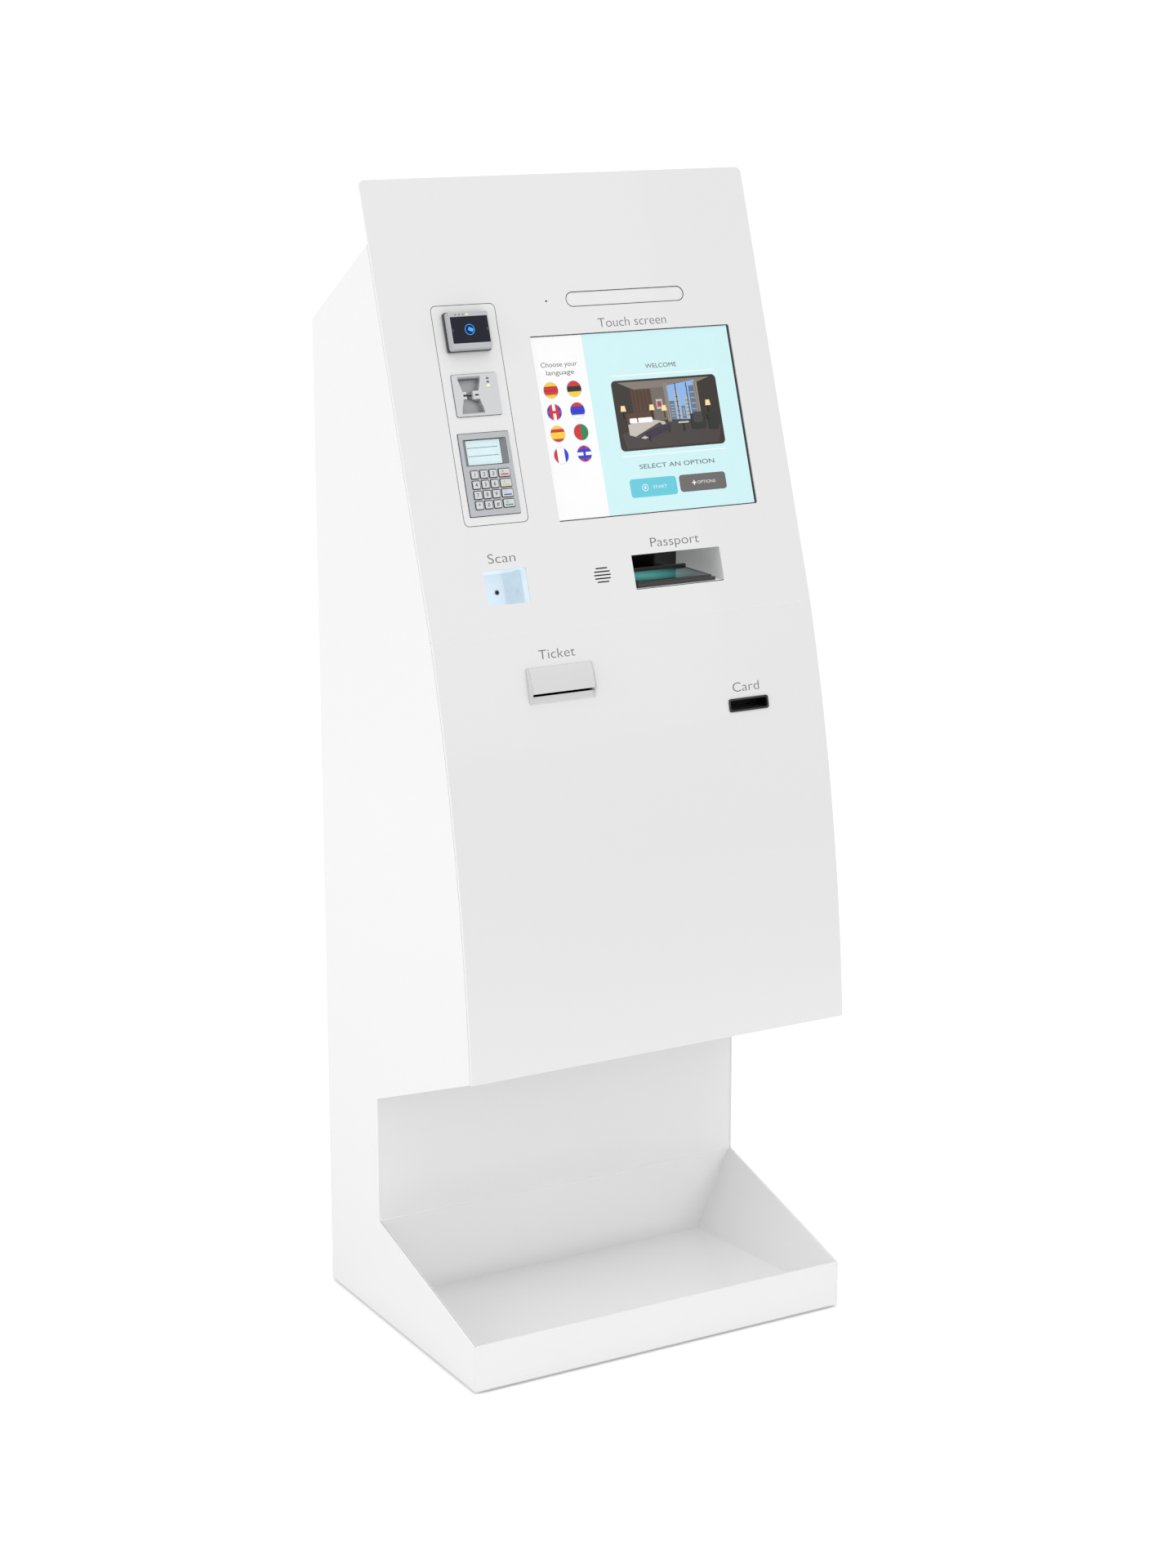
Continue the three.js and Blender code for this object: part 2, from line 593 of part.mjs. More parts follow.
function cameraModule() {
  const face = FASCIA_SKIN + GAP;
  const board = block([LENS.across - 60, LENS.across + 60], [face + 12, face + 15],
    [LENS.up - 14, LENS.up + 14]);
  const barrel = rod('y', [face + 1, face + 13], [LENS.across, LENS.up], 8, 16);
  const ends = [-1, 1].map((side) => {
    const x = LENS.across + side * 56;
    return block([x - 4, x + 4], [face, face + 13], [LENS.up - 14, LENS.up + 14]);
  });
  return join(board, barrel, ...ends);
}
put(flatFace, 'camera_module', cameraModule(), 'graphite');

// ---- Payment devices --------------------------------------------------------------------------------
const contactlessBoss = { ...CONTACTLESS, width: 50, height: 40 };
const cardReaderBody = { ...CARD_READER, width: 62, height: 50 };

function devicePlate() {
  const holes = () => [
    roundedHole(contactlessBoss, 3, GAP),
    roundedHole(cardReaderBody, 2, GAP),
    roundedHole(PINPAD, 1, PINPAD_GAP),
  ];
  const front = rounded(DEVICE_PLATE, DEVICE_PLATE_RADIUS, -DEVICE_PLATE_GAP);
  const rear = rounded(DEVICE_PLATE, DEVICE_PLATE_RADIUS, DEVICE_PLATE_LAP);
  front.holes.push(...holes());
  rear.holes.push(...holes());
  const step = FASCIA_SKIN + GAP;
  return join(plate(front, 0, step + 1), plate(rear, step, step + SKIN));
}
put(flatFace, 'device_plate', devicePlate(), 'white');

function contactlessReader() {
  const { across, up, width, height } = CONTACTLESS;
  const points = [];
  for (const [y, inset] of [[-GAP, 0], [-CONTACTLESS_DEPTH, CONTACTLESS_TAPER]]) {
    for (const sx of [-1, 1]) {
      for (const sz of [-1, 1]) {
        const x = across + sx * (width / 2 - inset);
        points.push(new THREE.Vector3(x, y, up + sz * (height / 2 - inset / 2)));
      }
    }
  }
  const window = { across, up: up + 0.8, width: width - 2 * CONTACTLESS_TAPER - 3, height: 39.6 };
  const body = join(new ConvexGeometry(points), plate(rounded(contactlessBoss, 3), -1, 14));
  return cut(body, areaBlock(window, -30, 1.2 - CONTACTLESS_DEPTH));
}
put(flatFace, 'contactless_reader', contactlessReader(), 'silver');

// The card reader's face has a waisted thumb recess and a slot across its middle.
function cardReader() {
  const { across, up, width, height } = CARD_READER;
  const left = across - width / 2;
  const rim = plate(rounded(CARD_READER, 2.5), -CARD_READER_RIM, -GAP);
  const body = plate(rounded(cardReaderBody, 2), -1, CARD_READER_DEPTH);
  const edge = height / 2 - 3.5;
  const waist = new THREE.Shape([
    [9, edge], [46, edge], [46, 10], [38, 0], [46, -10], [46, -edge], [9, -edge], [13, 0],
  ].map(([x, z]) => new THREE.Vector2(left + x, up + z)));
  const slot = block([left + 20, left + 66], [-30, CARD_READER_DEPTH - 12], [up - 1.1, up + 1.1]);
  return cut(join(rim, body), plate(waist, -30, 9), slot);
}
put(flatFace, 'card_reader', cardReader(), 'silver');

function keyArea(column, row) {
  return { ...KEY_COLUMNS[column], up: KEY_TOP_ROW - row * KEY_PITCH, height: KEY_HEIGHT };
}

function eachKey(make) {
  return KEY_NAMES.map((name, i) => make(keyArea(i % KEY_COLUMNS.length, Math.floor(i / KEY_ROWS)), name));
}

function pinpadBody() {
  const shell = areaBlock(PINPAD, -PINPAD_PROUD, PINPAD_DEPTH);
  const wells = eachKey((area) => {
    return areaBlock(area, -20, KEY_DEEP - PINPAD_PROUD + KEY_TRAVEL + GAP, KEY_GAP);
  });
  const lcdPocket = { ...PINPAD_LCD, across: PINPAD.across, width: PINPAD.width - 12 };
  return cut(shell, areaBlock(lcdPocket, -20, 3, 1), ...wells);
}
put(flatFace, 'pinpad_body', pinpadBody(), 'silver');
put(flatFace, 'pinpad_display', areaBlock(PINPAD_LCD, 1, 3 - GAP), 'glass');
eachKey((area, name) => {
  const face = -PINPAD_PROUD - KEY_PROUD;
  const key = areaBlock(area, face, KEY_DEEP - PINPAD_PROUD);
  put(flatFace, `key_${name}`, key, 'keycap');
});

// ---- Code reader, speaker and passport reader -------------------------------------------------------
const lensPlace = [CODE_LENS.across, CODE_LENS.up];

function codeHood() {
  const face = FASCIA_SKIN + GAP;
  const shell = areaBlock(CODE_WELL, face, CODE_DEPTH + SKIN, SKIN);
  const lensHole = rod('y', [CODE_DEPTH - 5, CODE_DEPTH + 5], lensPlace, CODE_LENS.radius);
  return cut(shell, areaBlock(CODE_WELL, -5, CODE_DEPTH), lensHole);
}
put(flatFace, 'code_hood', codeHood(), 'white');

function codeScanner() {
  const back = CODE_DEPTH + SKIN + GAP;
  const body = block([CODE_LENS.across - 22, CODE_LENS.across + 22], [back, back + 34],
    [CODE_LENS.up - 18, CODE_LENS.up + 18]);
  return join(body, rod('y', [CODE_DEPTH + 1, back + 1], lensPlace, CODE_LENS.radius - GAP));
}
put(flatFace, 'code_scanner', codeScanner(), 'graphite');

function speakerDriver() {
  const face = FASCIA_SKIN + GAP;
  const rim = SPEAKER.radius + 6;
  const profile = [[0, 0], [rim, 0], [rim, 3], [SPEAKER.radius, 12], [SPEAKER.radius, 20], [0, 20]];
  const points = profile.map(([radius, depth]) => new THREE.Vector2(radius, depth));
  return new THREE.LatheGeometry(points, 24).translate(SPEAKER.across, face, SPEAKER.up);
}
put(flatFace, 'speaker', speakerDriver(), 'graphite');

// The passport slot runs level into the cabinet, so it is placed in the cabinet's own frame.
const slotLow = flatPoint(PASSPORT.up - PASSPORT.height / 2, 0);
const slotHigh = flatPoint(PASSPORT.up + PASSPORT.height / 2, 0);
const slotSides = [PASSPORT.across - PASSPORT.width / 2, PASSPORT.across + PASSPORT.width / 2];
const behindFascia = (FASCIA_SKIN + GAP) / Math.cos(FASCIA_TILT);

function passportHood() {
  const [left, right] = slotSides;
  const lowFront = slotLow.x + behindFascia;
  const highFront = slotHigh.x + behindFascia + SKIN * Math.tan(FASCIA_TILT);
  const shell = drawnAcross([
    new THREE.Vector2(lowFront, slotLow.y),
    new THREE.Vector2(SKIN - PASSPORT_REAR, slotLow.y),
    new THREE.Vector2(SKIN - PASSPORT_REAR, slotHigh.y + SKIN),
    new THREE.Vector2(highFront, slotHigh.y + SKIN),
  ], left - SKIN, right + SKIN);
  return cut(shell, block([left, right], [-DEPTH, -PASSPORT_REAR], [slotLow.y - 5, slotHigh.y]));
}
put(kiosk, 'passport_hood', passportHood(), 'graphite');

function passportReader() {
  const [left, right] = slotSides;
  const top = slotLow.y - GAP;
  const front = slotLow.x + behindFascia + 1;
  const body = block([left - SKIN, right + SKIN], [front, SKIN - PASSPORT_REAR], [top - PASSPORT_BODY, top]);
  const bed = { left: left + 8, right: right - 16, front: front + 5, rear: front + 84 };
  const frame = block([bed.left, bed.right], [bed.front, bed.rear], [top - 1, top + PASSPORT_BED_HEIGHT]);
  const glass = block([bed.left + 5, bed.right - 5], [bed.front + 5, bed.rear - 5],
    [top + PASSPORT_BED_HEIGHT - 1.5, top + PASSPORT_BED_HEIGHT + 5]);
  return cut(join(body, frame), glass);
}
put(kiosk, 'passport_reader', passportReader(), 'black');

// ---- Ticket outlet and printer ----------------------------------------------------------------------
const slotTop = -TICKET_SLOT_DROP;
const slotBottom = slotTop - TICKET_SLOT;

function cowlOutline(steps = 8) {
  const rise = TICKET.height / 2;
  const points = Array.from({ length: steps + 1 }, (_, i) => {
    const turn = (i / steps) * Math.PI / 2;
    const y = -GAP - (TICKET_PROUD - GAP) * Math.sin(turn);
    return new THREE.Vector2(y, slotTop + (rise - slotTop) * Math.cos(turn));
  });
  return points;
}

function ticketBezel() {
  const w = TICKET.width / 2;
  const tip = new THREE.Vector2(-GAP, -TICKET.height / 2);
  const cowl = drawnAcross([...cowlOutline(), new THREE.Vector2(-GAP, slotTop)], -w, w);
  const cheeks = [[-w, TICKET_CHEEK - w], [w - TICKET_CHEEK, w]].map(([x0, x1]) => {
    return drawnAcross([...cowlOutline(), tip], x0, x1);
  });
  const chin = drawnAcross([
    new THREE.Vector2(-GAP, slotTop + 1), new THREE.Vector2(-3, slotTop + 1),
    new THREE.Vector2(-3, slotBottom), tip,
  ], -w, w);
  const sleeve = block([-sleeveHalf, sleeveHalf], [-1, TICKET_SLEEVE], [-sleeveRise, sleeveRise]);
  const slot = block([-w + TICKET_CHEEK, w - TICKET_CHEEK], [-30, 0], [slotBottom, slotTop]);
  const throat = block([2 - sleeveHalf, sleeveHalf - 2], [-1, 30], [slotBottom, slotTop]);
  return cut(join(cowl, ...cheeks, chin, sleeve), slot, throat);
}
put(ticketFace, 'ticket_bezel', ticketBezel(), 'white');

const platen = { y: TICKET_SLEEVE + 12, z: (slotTop + slotBottom) / 2 - PLATEN_RADIUS - 0.2 };
const spindle = { y: platen.y + PLATEN_RADIUS + PAPER_RADIUS + 16, z: platen.z - 24 };
const printerInner = PAPER_WIDTH / 2 + 3;

function ticketPrinter() {
  const outer = printerInner + SKIN;
  const floor = spindle.z - PAPER_RADIUS - 6;
  const rear = spindle.y + PAPER_RADIUS + 8;
  const front = TICKET_SLEEVE + GAP;
  const cheeks = [[-outer, -printerInner], [printerInner, outer]].map((span) => {
    return block(span, [front, rear], [floor, 6]);
  });
  const base = block([-outer, outer], [front, rear], [floor, floor + SKIN]);
  const head = block([-outer, outer], [front + 3, front + 22], [slotTop + 1, 4]);
  const bar = rod('x', [-outer, outer], [spindle.y, spindle.z], SPINDLE_RADIUS, 16);
  const shaftHole = rod('x', [-outer - 1, outer + 1], [platen.y, platen.z], 3 + GAP, 16);
  return cut(join(...cheeks, base, head, bar), shaftHole);
}
put(ticketFace, 'ticket_printer', ticketPrinter(), 'steel');

function paperRoll() {
  const span = [-PAPER_WIDTH / 2, PAPER_WIDTH / 2];
  const core = rod('x', [-PAPER_WIDTH, PAPER_WIDTH], [spindle.y, spindle.z], SPINDLE_RADIUS + 0.5, 16);
  return cut(rod('x', span, [spindle.y, spindle.z], PAPER_RADIUS, 32), core);
}
put(ticketFace, 'paper_roll', paperRoll(), 'paper');

const platenShaft = rod('x', [-printerInner - 8, printerInner + 8], [platen.y, platen.z], 3, 16);
const platenSleeve = rod('x', [1 - printerInner, printerInner - 1], [platen.y, platen.z], PLATEN_RADIUS, 24);
put(ticketFace, 'platen_roller', join(platenSleeve, platenShaft), 'rubber');

// ---- Card outlet and dispenser ----------------------------------------------------------------------
function outletBezel() {
  const rim = plate(rounded(outletArea, OUTLET_RADIUS), -OUTLET_PROUD, -GAP);
  const sleeve = plate(rounded(outletArea, OUTLET_RADIUS, OUTLET_WALL - OUTLET_RIM), -1, OUTLET_SLEEVE);
  const bore = plate(rounded(outletArea, OUTLET_RADIUS - 1, -OUTLET_RIM), -10, OUTLET_SLEEVE + 5);
  return cut(join(rim, sleeve), bore);
}
put(outletFace, 'card_bezel', outletBezel(), 'black');

const hopper = { front: OUTLET_SLEEVE + 32, floor: -14, inner: 30 };
const feed = { y: OUTLET_SLEEVE + 18, z: -FEED_RADIUS - 0.5 };

function cardDispenser() {
  const outer = hopper.inner + SKIN;
  const rear = hopper.front + CARD_LENGTH + 4 + SKIN;
  const mouth = OUTLET_SLEEVE + GAP;
  const cheeks = [[-outer, -hopper.inner], [hopper.inner, outer]].flatMap((span) => [
    block(span, [mouth, rear], [hopper.floor, 16]),
    block(span, [hopper.front - SKIN, rear], [10, CARD_HOPPER]),
  ]);
  const floor = block([-outer, outer], [mouth, rear], [hopper.floor - SKIN, hopper.floor]);
  const frontWall = block([-outer, outer], [hopper.front - SKIN, hopper.front], [8, CARD_HOPPER]);
  const rearWall = block([-outer, outer], [rear - SKIN, rear], [hopper.floor - SKIN, CARD_HOPPER]);
  const shaftHole = rod('x', [-outer - 1, outer + 1], [feed.y, feed.z], 2.5 + GAP, 12);
  return cut(join(...cheeks, floor, frontWall, rearWall), shaftHole);
}
put(outletFace, 'card_dispenser', cardDispenser(), 'steel');

const feedShaft = rod('x', [-hopper.inner - 6, hopper.inner + 6], [feed.y, feed.z], 2.5, 12);
const feedTyre = rod('x', [-18, 18], [feed.y, feed.z], FEED_RADIUS, 20);
put(outletFace, 'feed_roller', join(feedTyre, feedShaft), 'rubber');

// ---- Equipment on the inner shelf and at the foot ---------------------------------------------------
const shelfFront = TOE_SETBACK - DEPTH + SHELF_SETBACK;
const shelfRear = -SHELF_REAR;
put(kiosk, 'inner_shelf', join(
  block([-sheetHalf, sheetHalf], [shelfFront, shelfRear], [INNER_SHELF - SKIN, INNER_SHELF]),
  block([-sheetHalf, sheetHalf], [shelfRear - SKIN, shelfRear], [INNER_SHELF - SHELF_FLANGE, INNER_SHELF]),
), 'zinc');

const computerRear = -COMPUTER.setback;
const computerBase = INNER_SHELF + GAP;
const fanPlace = { x: COMPUTER.across - 60, z: computerBase + COMPUTER.height / 2 };
const fanAxis = [fanPlace.x, fanPlace.z];

function computerCase() {
  const w = COMPUTER.width / 2;
  const shell = block([COMPUTER.across - w, COMPUTER.across + w],
    [computerRear - COMPUTER.depth, computerRear], [computerBase, computerBase + COMPUTER.height]);
  const well = rod('y', [computerRear - FAN_WELL, computerRear + 5], fanAxis, FAN_RADIUS + 2, 24);
  const pin = rod('y', [computerRear - FAN_WELL - 2, computerRear - 8], fanAxis, FAN_PIN_RADIUS, 12);
  return join(cut(shell, well), pin);
}
put(kiosk, 'computer_case', computerCase(), 'graphite');

function coolingFan() {
  const back = computerRear - FAN_WELL + 3;
  const front = computerRear - 3;
  const middle = (back + front) / 2;
  const hub = rod('y', [back, front], fanAxis, FAN_HUB, 20);
  const blades = Array.from({ length: FAN_BLADES }, (_, i) => {
    const blade = block([FAN_HUB - 3, FAN_RADIUS], [-6, 6], [-1, 1]).rotateX(BLADE_PITCH);
    return blade.rotateY((i / FAN_BLADES) * 2 * Math.PI).translate(fanPlace.x, middle, fanPlace.z);
  });
  const bore = rod('y', [back - 1, front - 3], fanAxis, FAN_PIN_RADIUS + GAP, 12);
  return cut(join(hub, ...blades), bore);
}
put(kiosk, 'cooling_fan', coolingFan(), 'black');

const rocker = { x: SUPPLY.across - SWITCH_OFFSET, y: -FRAME_SET - 1, z: supplyPort.up };
const inletPlace = { ...INLET, across: SUPPLY.across + INLET_OFFSET, up: supplyPort.up };

function powerSupply() {
  const w = SUPPLY.width / 2;
  const rear = frameBack - GAP;
  const body = block([SUPPLY.across - w, SUPPLY.across + w], [rear - SUPPLY.depth, rear],
    [supplyBase, supplyBase + SUPPLY.height]);
  const port = areaBlock(supplyPort, frameBack - 2, 3 - FRAME_SET);
  const inlet = areaBlock(inletPlace, -FRAME_SET - INLET.depth, 5);
  const earthPin = block([inletPlace.across - 1, inletPlace.across + 1],
    [-FRAME_SET - INLET.depth - 1, -FRAME_SET - 2], [inletPlace.up - 4, inletPlace.up + 4]);
  const switchWell = areaBlock({ ...SWITCH, across: rocker.x, up: rocker.z }, -FRAME_SET - 12, 5);
  return join(cut(join(body, port), inlet, switchWell), earthPin);
}
put(kiosk, 'power_supply', powerSupply(), 'graphite');

function powerSwitch() {
  const rise = SWITCH.height / 2 - 1.2;
  const outline = [[0.5, rise], [2.6, rise], [1.2, 0], [2.6, -rise], [0.5, -rise], [-6, -5], [-6, 5]];
  const points = outline.map(([y, z]) => {
    return new THREE.Vector2(y, z).rotateAround(new THREE.Vector2(0, 0), SWITCH_TILT);
  });
  const w = SWITCH.width / 2 - 0.6;
  return drawnAcross(points, -w, w).translate(rocker.x, rocker.y + 1, rocker.z);
}
put(kiosk, 'power_switch', powerSwitch(), 'black');

export default kiosk;
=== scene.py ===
# %% [markdown]
# A self-service kiosk, dressed for its portrait.
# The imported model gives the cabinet, its moving parts and every size. This script adds what the eye
# looks for: soft edges, moulded and painted finishes, a lit screen, printed words and small devices.
# All lengths are in metres, +Z is up and the kiosk's front looks towards -Y.

# %% Load the frame
import json
import math

import bmesh
import bpy
from mathutils import Matrix, Vector


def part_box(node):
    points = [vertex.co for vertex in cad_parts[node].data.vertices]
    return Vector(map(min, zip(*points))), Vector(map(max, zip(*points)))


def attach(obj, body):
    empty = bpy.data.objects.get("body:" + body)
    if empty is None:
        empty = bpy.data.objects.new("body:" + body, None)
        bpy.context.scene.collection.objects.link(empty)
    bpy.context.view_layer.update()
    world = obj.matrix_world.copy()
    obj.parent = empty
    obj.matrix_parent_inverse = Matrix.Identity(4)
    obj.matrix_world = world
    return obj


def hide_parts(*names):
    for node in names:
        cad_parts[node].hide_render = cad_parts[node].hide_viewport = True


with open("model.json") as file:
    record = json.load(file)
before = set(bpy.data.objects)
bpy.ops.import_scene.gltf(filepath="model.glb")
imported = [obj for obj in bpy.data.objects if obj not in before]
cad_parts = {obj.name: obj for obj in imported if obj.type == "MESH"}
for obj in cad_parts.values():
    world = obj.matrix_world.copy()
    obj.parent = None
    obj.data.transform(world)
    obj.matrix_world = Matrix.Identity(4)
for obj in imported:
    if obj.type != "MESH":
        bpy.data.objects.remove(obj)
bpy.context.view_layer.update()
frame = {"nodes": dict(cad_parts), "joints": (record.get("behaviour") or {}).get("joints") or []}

scene = bpy.context.scene
nodes = frame["nodes"]
MM = 0.001

# %% [markdown]
# The camera comes first, because everything is judged through it. A long lens from above eye height
# keeps the uprights almost parallel. The kiosk's left side and its leaning front both show.

# %% Camera
CAMERA_PLACE = (-2.271, -3.987, 2.009)
CAMERA_TURN = (75.533, 0.0, -29.776)
CAMERA_LENS = 72.3

camera_data = bpy.data.cameras.new("portrait_camera")
camera_data.lens = CAMERA_LENS
camera_data.sensor_fit = "VERTICAL"
camera_data.sensor_height = 36.0
camera = bpy.data.objects.new("portrait_camera", camera_data)
camera.location = CAMERA_PLACE
camera.rotation_euler = [math.radians(angle) for angle in CAMERA_TURN]
scene.collection.objects.link(camera)
scene.camera = camera
print("camera lens:", CAMERA_LENS, "mm")

# %% [markdown]
# The kiosk has three working planes: the flat upper sheet, and two places on the bowed lower sheet.
# Each gets its own frame of axes: across, up the sheet and out of it. A piece is drawn flat in that
# frame, in x, y and z, and is then laid on the kiosk by the frame's matrix.

# %% Frames on the two front sheets
BOW = 17 * MM               # how far the lower sheet bulges past a straight line
SHEET = 4 * MM              # thickness of both front sheets

key_joint = next(joint for joint in frame["joints"] if joint["name"] == "key_1_press")
lean = math.atan2(-key_joint["axis"][2], key_joint["axis"][1])
upper_low, upper_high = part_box("upper_fascia")
lower_low, lower_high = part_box("lower_fascia")
half_width = upper_high[0]
fold = Vector((0, upper_low[1], upper_low[2] + SHEET * math.sin(lean)))
toe = Vector((0, lower_low[1], lower_low[2]))


def leaning_frame(origin, tilt):
    """Axes on a leaning sheet: x across it, y up it and z out of it."""
    up = Vector((0, math.sin(tilt), math.cos(tilt)))
    out = Vector((0, -math.cos(tilt), math.sin(tilt)))
    return Matrix((
        (1, 0, 0, origin.x), (0, up.y, out.y, origin.y), (0, up.z, out.z, origin.z), (0, 0, 0, 1),
    ))


chord = fold - toe
chord_tilt = math.atan2(chord.y, chord.z)
bow_radius = chord.length ** 2 / (8 * BOW) + BOW / 2
bow_half = math.asin(chord.length / 2 / bow_radius)
bow_length = 2 * bow_half * bow_radius
bow_centre = Vector((
    0, fold.y + bow_radius * math.cos(chord_tilt + bow_half),
    fold.z - bow_radius * math.sin(chord_tilt + bow_half),
))


def bow_frame(down, across):
    """The frame on the bowed sheet at a distance down from the fold."""
    tilt = chord_tilt + bow_half - down / bow_radius
    foot = bow_centre + bow_radius * Vector((0, -math.cos(tilt), math.sin(tilt)))
    return leaning_frame(Vector((across, foot.y, foot.z)), tilt)


def bow_place(node):
    """How far down the bowed sheet a node's middle is, and how far across."""
    low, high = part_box(node)
    arm_y = bow_centre.y - (low[1] + high[1]) / 2
    arm_z = (low[2] + high[2]) / 2 - bow_centre.z
    return (chord_tilt + bow_half - math.atan2(arm_z, arm_y)) * bow_radius, (low[0] + high[0]) / 2


ticket_down, ticket_across = bow_place("ticket_bezel")
card_down, card_across = bow_place("card_bezel")
FLAT = leaning_frame(fold, lean)
TICKET = bow_frame(ticket_down, ticket_across)
CARD = bow_frame(card_down, card_across)
CABINET = Matrix.Identity(4)
print("lean of the flat sheet:", round(math.degrees(lean), 2), "degrees")


def span(node, axes=FLAT):
    """A node's lowest and highest corner in a sheet's own axes."""
    inverse = axes.inverted()
    corners = [inverse @ v.co for v in nodes[node].data.vertices]
    low = Vector([min(c[i] for c in corners) for i in range(3)])
    high = Vector([max(c[i] for c in corners) for i in range(3)])
    return low, high


# %% [markdown]
# Most finishes share a few effects: soft marks that break up a gloss, a very fine grain that keeps a
# moulding from looking like liquid, brushed lines on steel, lighter edges (rubbed wear on most
# finishes, a painted highlight on the white coat and the cowl), and dust on level faces.
# Each effect is one node group, built once, with its scale and strength as inputs. A group gives
# only a value or a colour; the shader itself stays in the material.

# %% Helpers for effects
WHITE = (1, 1, 1, 1)


def new_group(name, inputs, outputs):
    group = bpy.data.node_groups.new(name, "ShaderNodeTree")
    for label, kind, value in inputs:
        socket = group.interface.new_socket(label, in_out="INPUT", socket_type=kind)
        socket.default_value = value
    for label, kind in outputs:
        group.interface.new_socket(label, in_out="OUTPUT", socket_type=kind)
    return group, group.nodes.new("NodeGroupInput"), group.nodes.new("NodeGroupOutput")


def add(tree, kind, **settings):
    node = tree.nodes.new(kind)
    for key, value in settings.items():
        setattr(node, key, value)
    return node


def object_noise(tree, scale_socket, detail, stretch=(1, 1, 1)):
    """A noise on object coordinates, so the pattern keeps its real size on every piece."""
    place = add(tree, "ShaderNodeTexCoord")
    mapping = add(tree, "ShaderNodeMapping")
    mapping.inputs["Scale"].default_value = stretch
    noise = add(tree, "ShaderNodeTexNoise")
    noise.inputs["Detail"].default_value = detail
    tree.links.new(place.outputs["Object"], mapping.inputs["Vector"])
    tree.links.new(mapping.outputs["Vector"], noise.inputs["Vector"])
    tree.links.new(scale_socket, noise.inputs["Scale"])
    return noise.outputs["Fac"]


# %% [markdown]
# Four of the effects are a noise that is scaled, centred or mixed. Their inputs are numbers and
# colours, so one group serves a smooth panel and a coarse rubber alike.

# %% Marks, grain and clouds
VALUE, COLOUR = "NodeSocketFloat", "NodeSocketColor"


def soft_marks_group():
    """Cloudy changes around a middle value, for roughness."""
    group, into, out = new_group(
        "soft_marks", [("Scale", VALUE, 9.0), ("Middle", VALUE, 0.3), ("Amount", VALUE, 0.05)],
        [("Value", VALUE)])
    cloud = object_noise(group, into.outputs["Scale"], 4)
    centred = add(group, "ShaderNodeMath", operation="SUBTRACT")
    centred.inputs[1].default_value = 0.5
    swing = add(group, "ShaderNodeMath", operation="MULTIPLY_ADD", use_clamp=True)
    group.links.new(cloud, centred.inputs[0])
    group.links.new(centred.outputs[0], swing.inputs[0])
    group.links.new(into.outputs["Amount"], swing.inputs[1])
    group.links.new(into.outputs["Middle"], swing.inputs[2])
    group.links.new(swing.outputs[0], out.inputs["Value"])
    return group


def fine_grain_group(name, stretch):
    """A small height, from an even noise or from one drawn out into brushed lines."""
    group, into, out = new_group(
        name, [("Scale", VALUE, 800.0), ("Depth", VALUE, 1.0)], [("Height", VALUE)])
    grain = object_noise(group, into.outputs["Scale"], 2, stretch)
    depth = add(group, "ShaderNodeMath", operation="MULTIPLY")
    group.links.new(grain, depth.inputs[0])
    group.links.new(into.outputs["Depth"], depth.inputs[1])
    group.links.new(depth.outputs[0], out.inputs["Height"])
    return group


def two_tone_group():
    """A base colour that drifts towards a second one in soft clouds."""
    group, into, out = new_group(
        "two_tone", [("Scale", VALUE, 5.0), ("First", COLOUR, WHITE), ("Second", COLOUR, WHITE)],
        [("Colour", COLOUR)])
    cloud = object_noise(group, into.outputs["Scale"], 5)
    mix = add(group, "ShaderNodeMix", data_type="RGBA")
    group.links.new(cloud, mix.inputs["Factor"])
    group.links.new(into.outputs["First"], mix.inputs["A"])
    group.links.new(into.outputs["Second"], mix.inputs["B"])
    group.links.new(mix.outputs["Result"], out.inputs["Colour"])
    return group


# %% [markdown]
# Dust and the edge tone depend on the shape under them. Dust needs a face that looks up, and the edge
# tone needs an edge: there the normal of a rounded edge leaves the true normal, and the gap between them is a
# mask.
# That tone is wear on most finishes and a painted highlight on the white coat and the cowl.

# %% Dust, wear and painted highlights on edges
DUST_FROM = 0.6             # how far up a face must look before dust stays on it
DUST_PATCHES = 40.0
EDGE_BEGINS, EDGE_ENDS = 0.995, 0.85    # likeness of the two normals where the edge tone begins, and is full (wear, and a painted highlight on the white finishes)


def settled_dust_group():
    """Dust that lies on faces that look up, in patches."""
    group, into, out = new_group(
        "settled_dust", [("Colour", COLOUR, WHITE), ("Dust", COLOUR, (0.6, 0.58, 0.55, 1)),
                         ("Amount", VALUE, 0.2)], [("Colour", COLOUR)])
    shape = add(group, "ShaderNodeNewGeometry")
    parts = add(group, "ShaderNodeSeparateXYZ")
    level = add(group, "ShaderNodeMapRange")
    level.inputs["From Min"].default_value = DUST_FROM
    patch_scale = add(group, "ShaderNodeValue")
    patch_scale.outputs[0].default_value = DUST_PATCHES
    patches = object_noise(group, patch_scale.outputs[0], 6)
    mask = add(group, "ShaderNodeMath", operation="MULTIPLY")
    strength = add(group, "ShaderNodeMath", operation="MULTIPLY", use_clamp=True)
    mix = add(group, "ShaderNodeMix", data_type="RGBA")
    group.links.new(shape.outputs["Normal"], parts.inputs[0])
    group.links.new(parts.outputs["Z"], level.inputs["Value"])
    group.links.new(level.outputs["Result"], mask.inputs[0])
    group.links.new(patches, mask.inputs[1])
    group.links.new(mask.outputs[0], strength.inputs[0])
    group.links.new(into.outputs["Amount"], strength.inputs[1])
    group.links.new(strength.outputs[0], mix.inputs["Factor"])
    group.links.new(into.outputs["Colour"], mix.inputs["A"])
    group.links.new(into.outputs["Dust"], mix.inputs["B"])
    group.links.new(mix.outputs["Result"], out.inputs["Colour"])
    return group


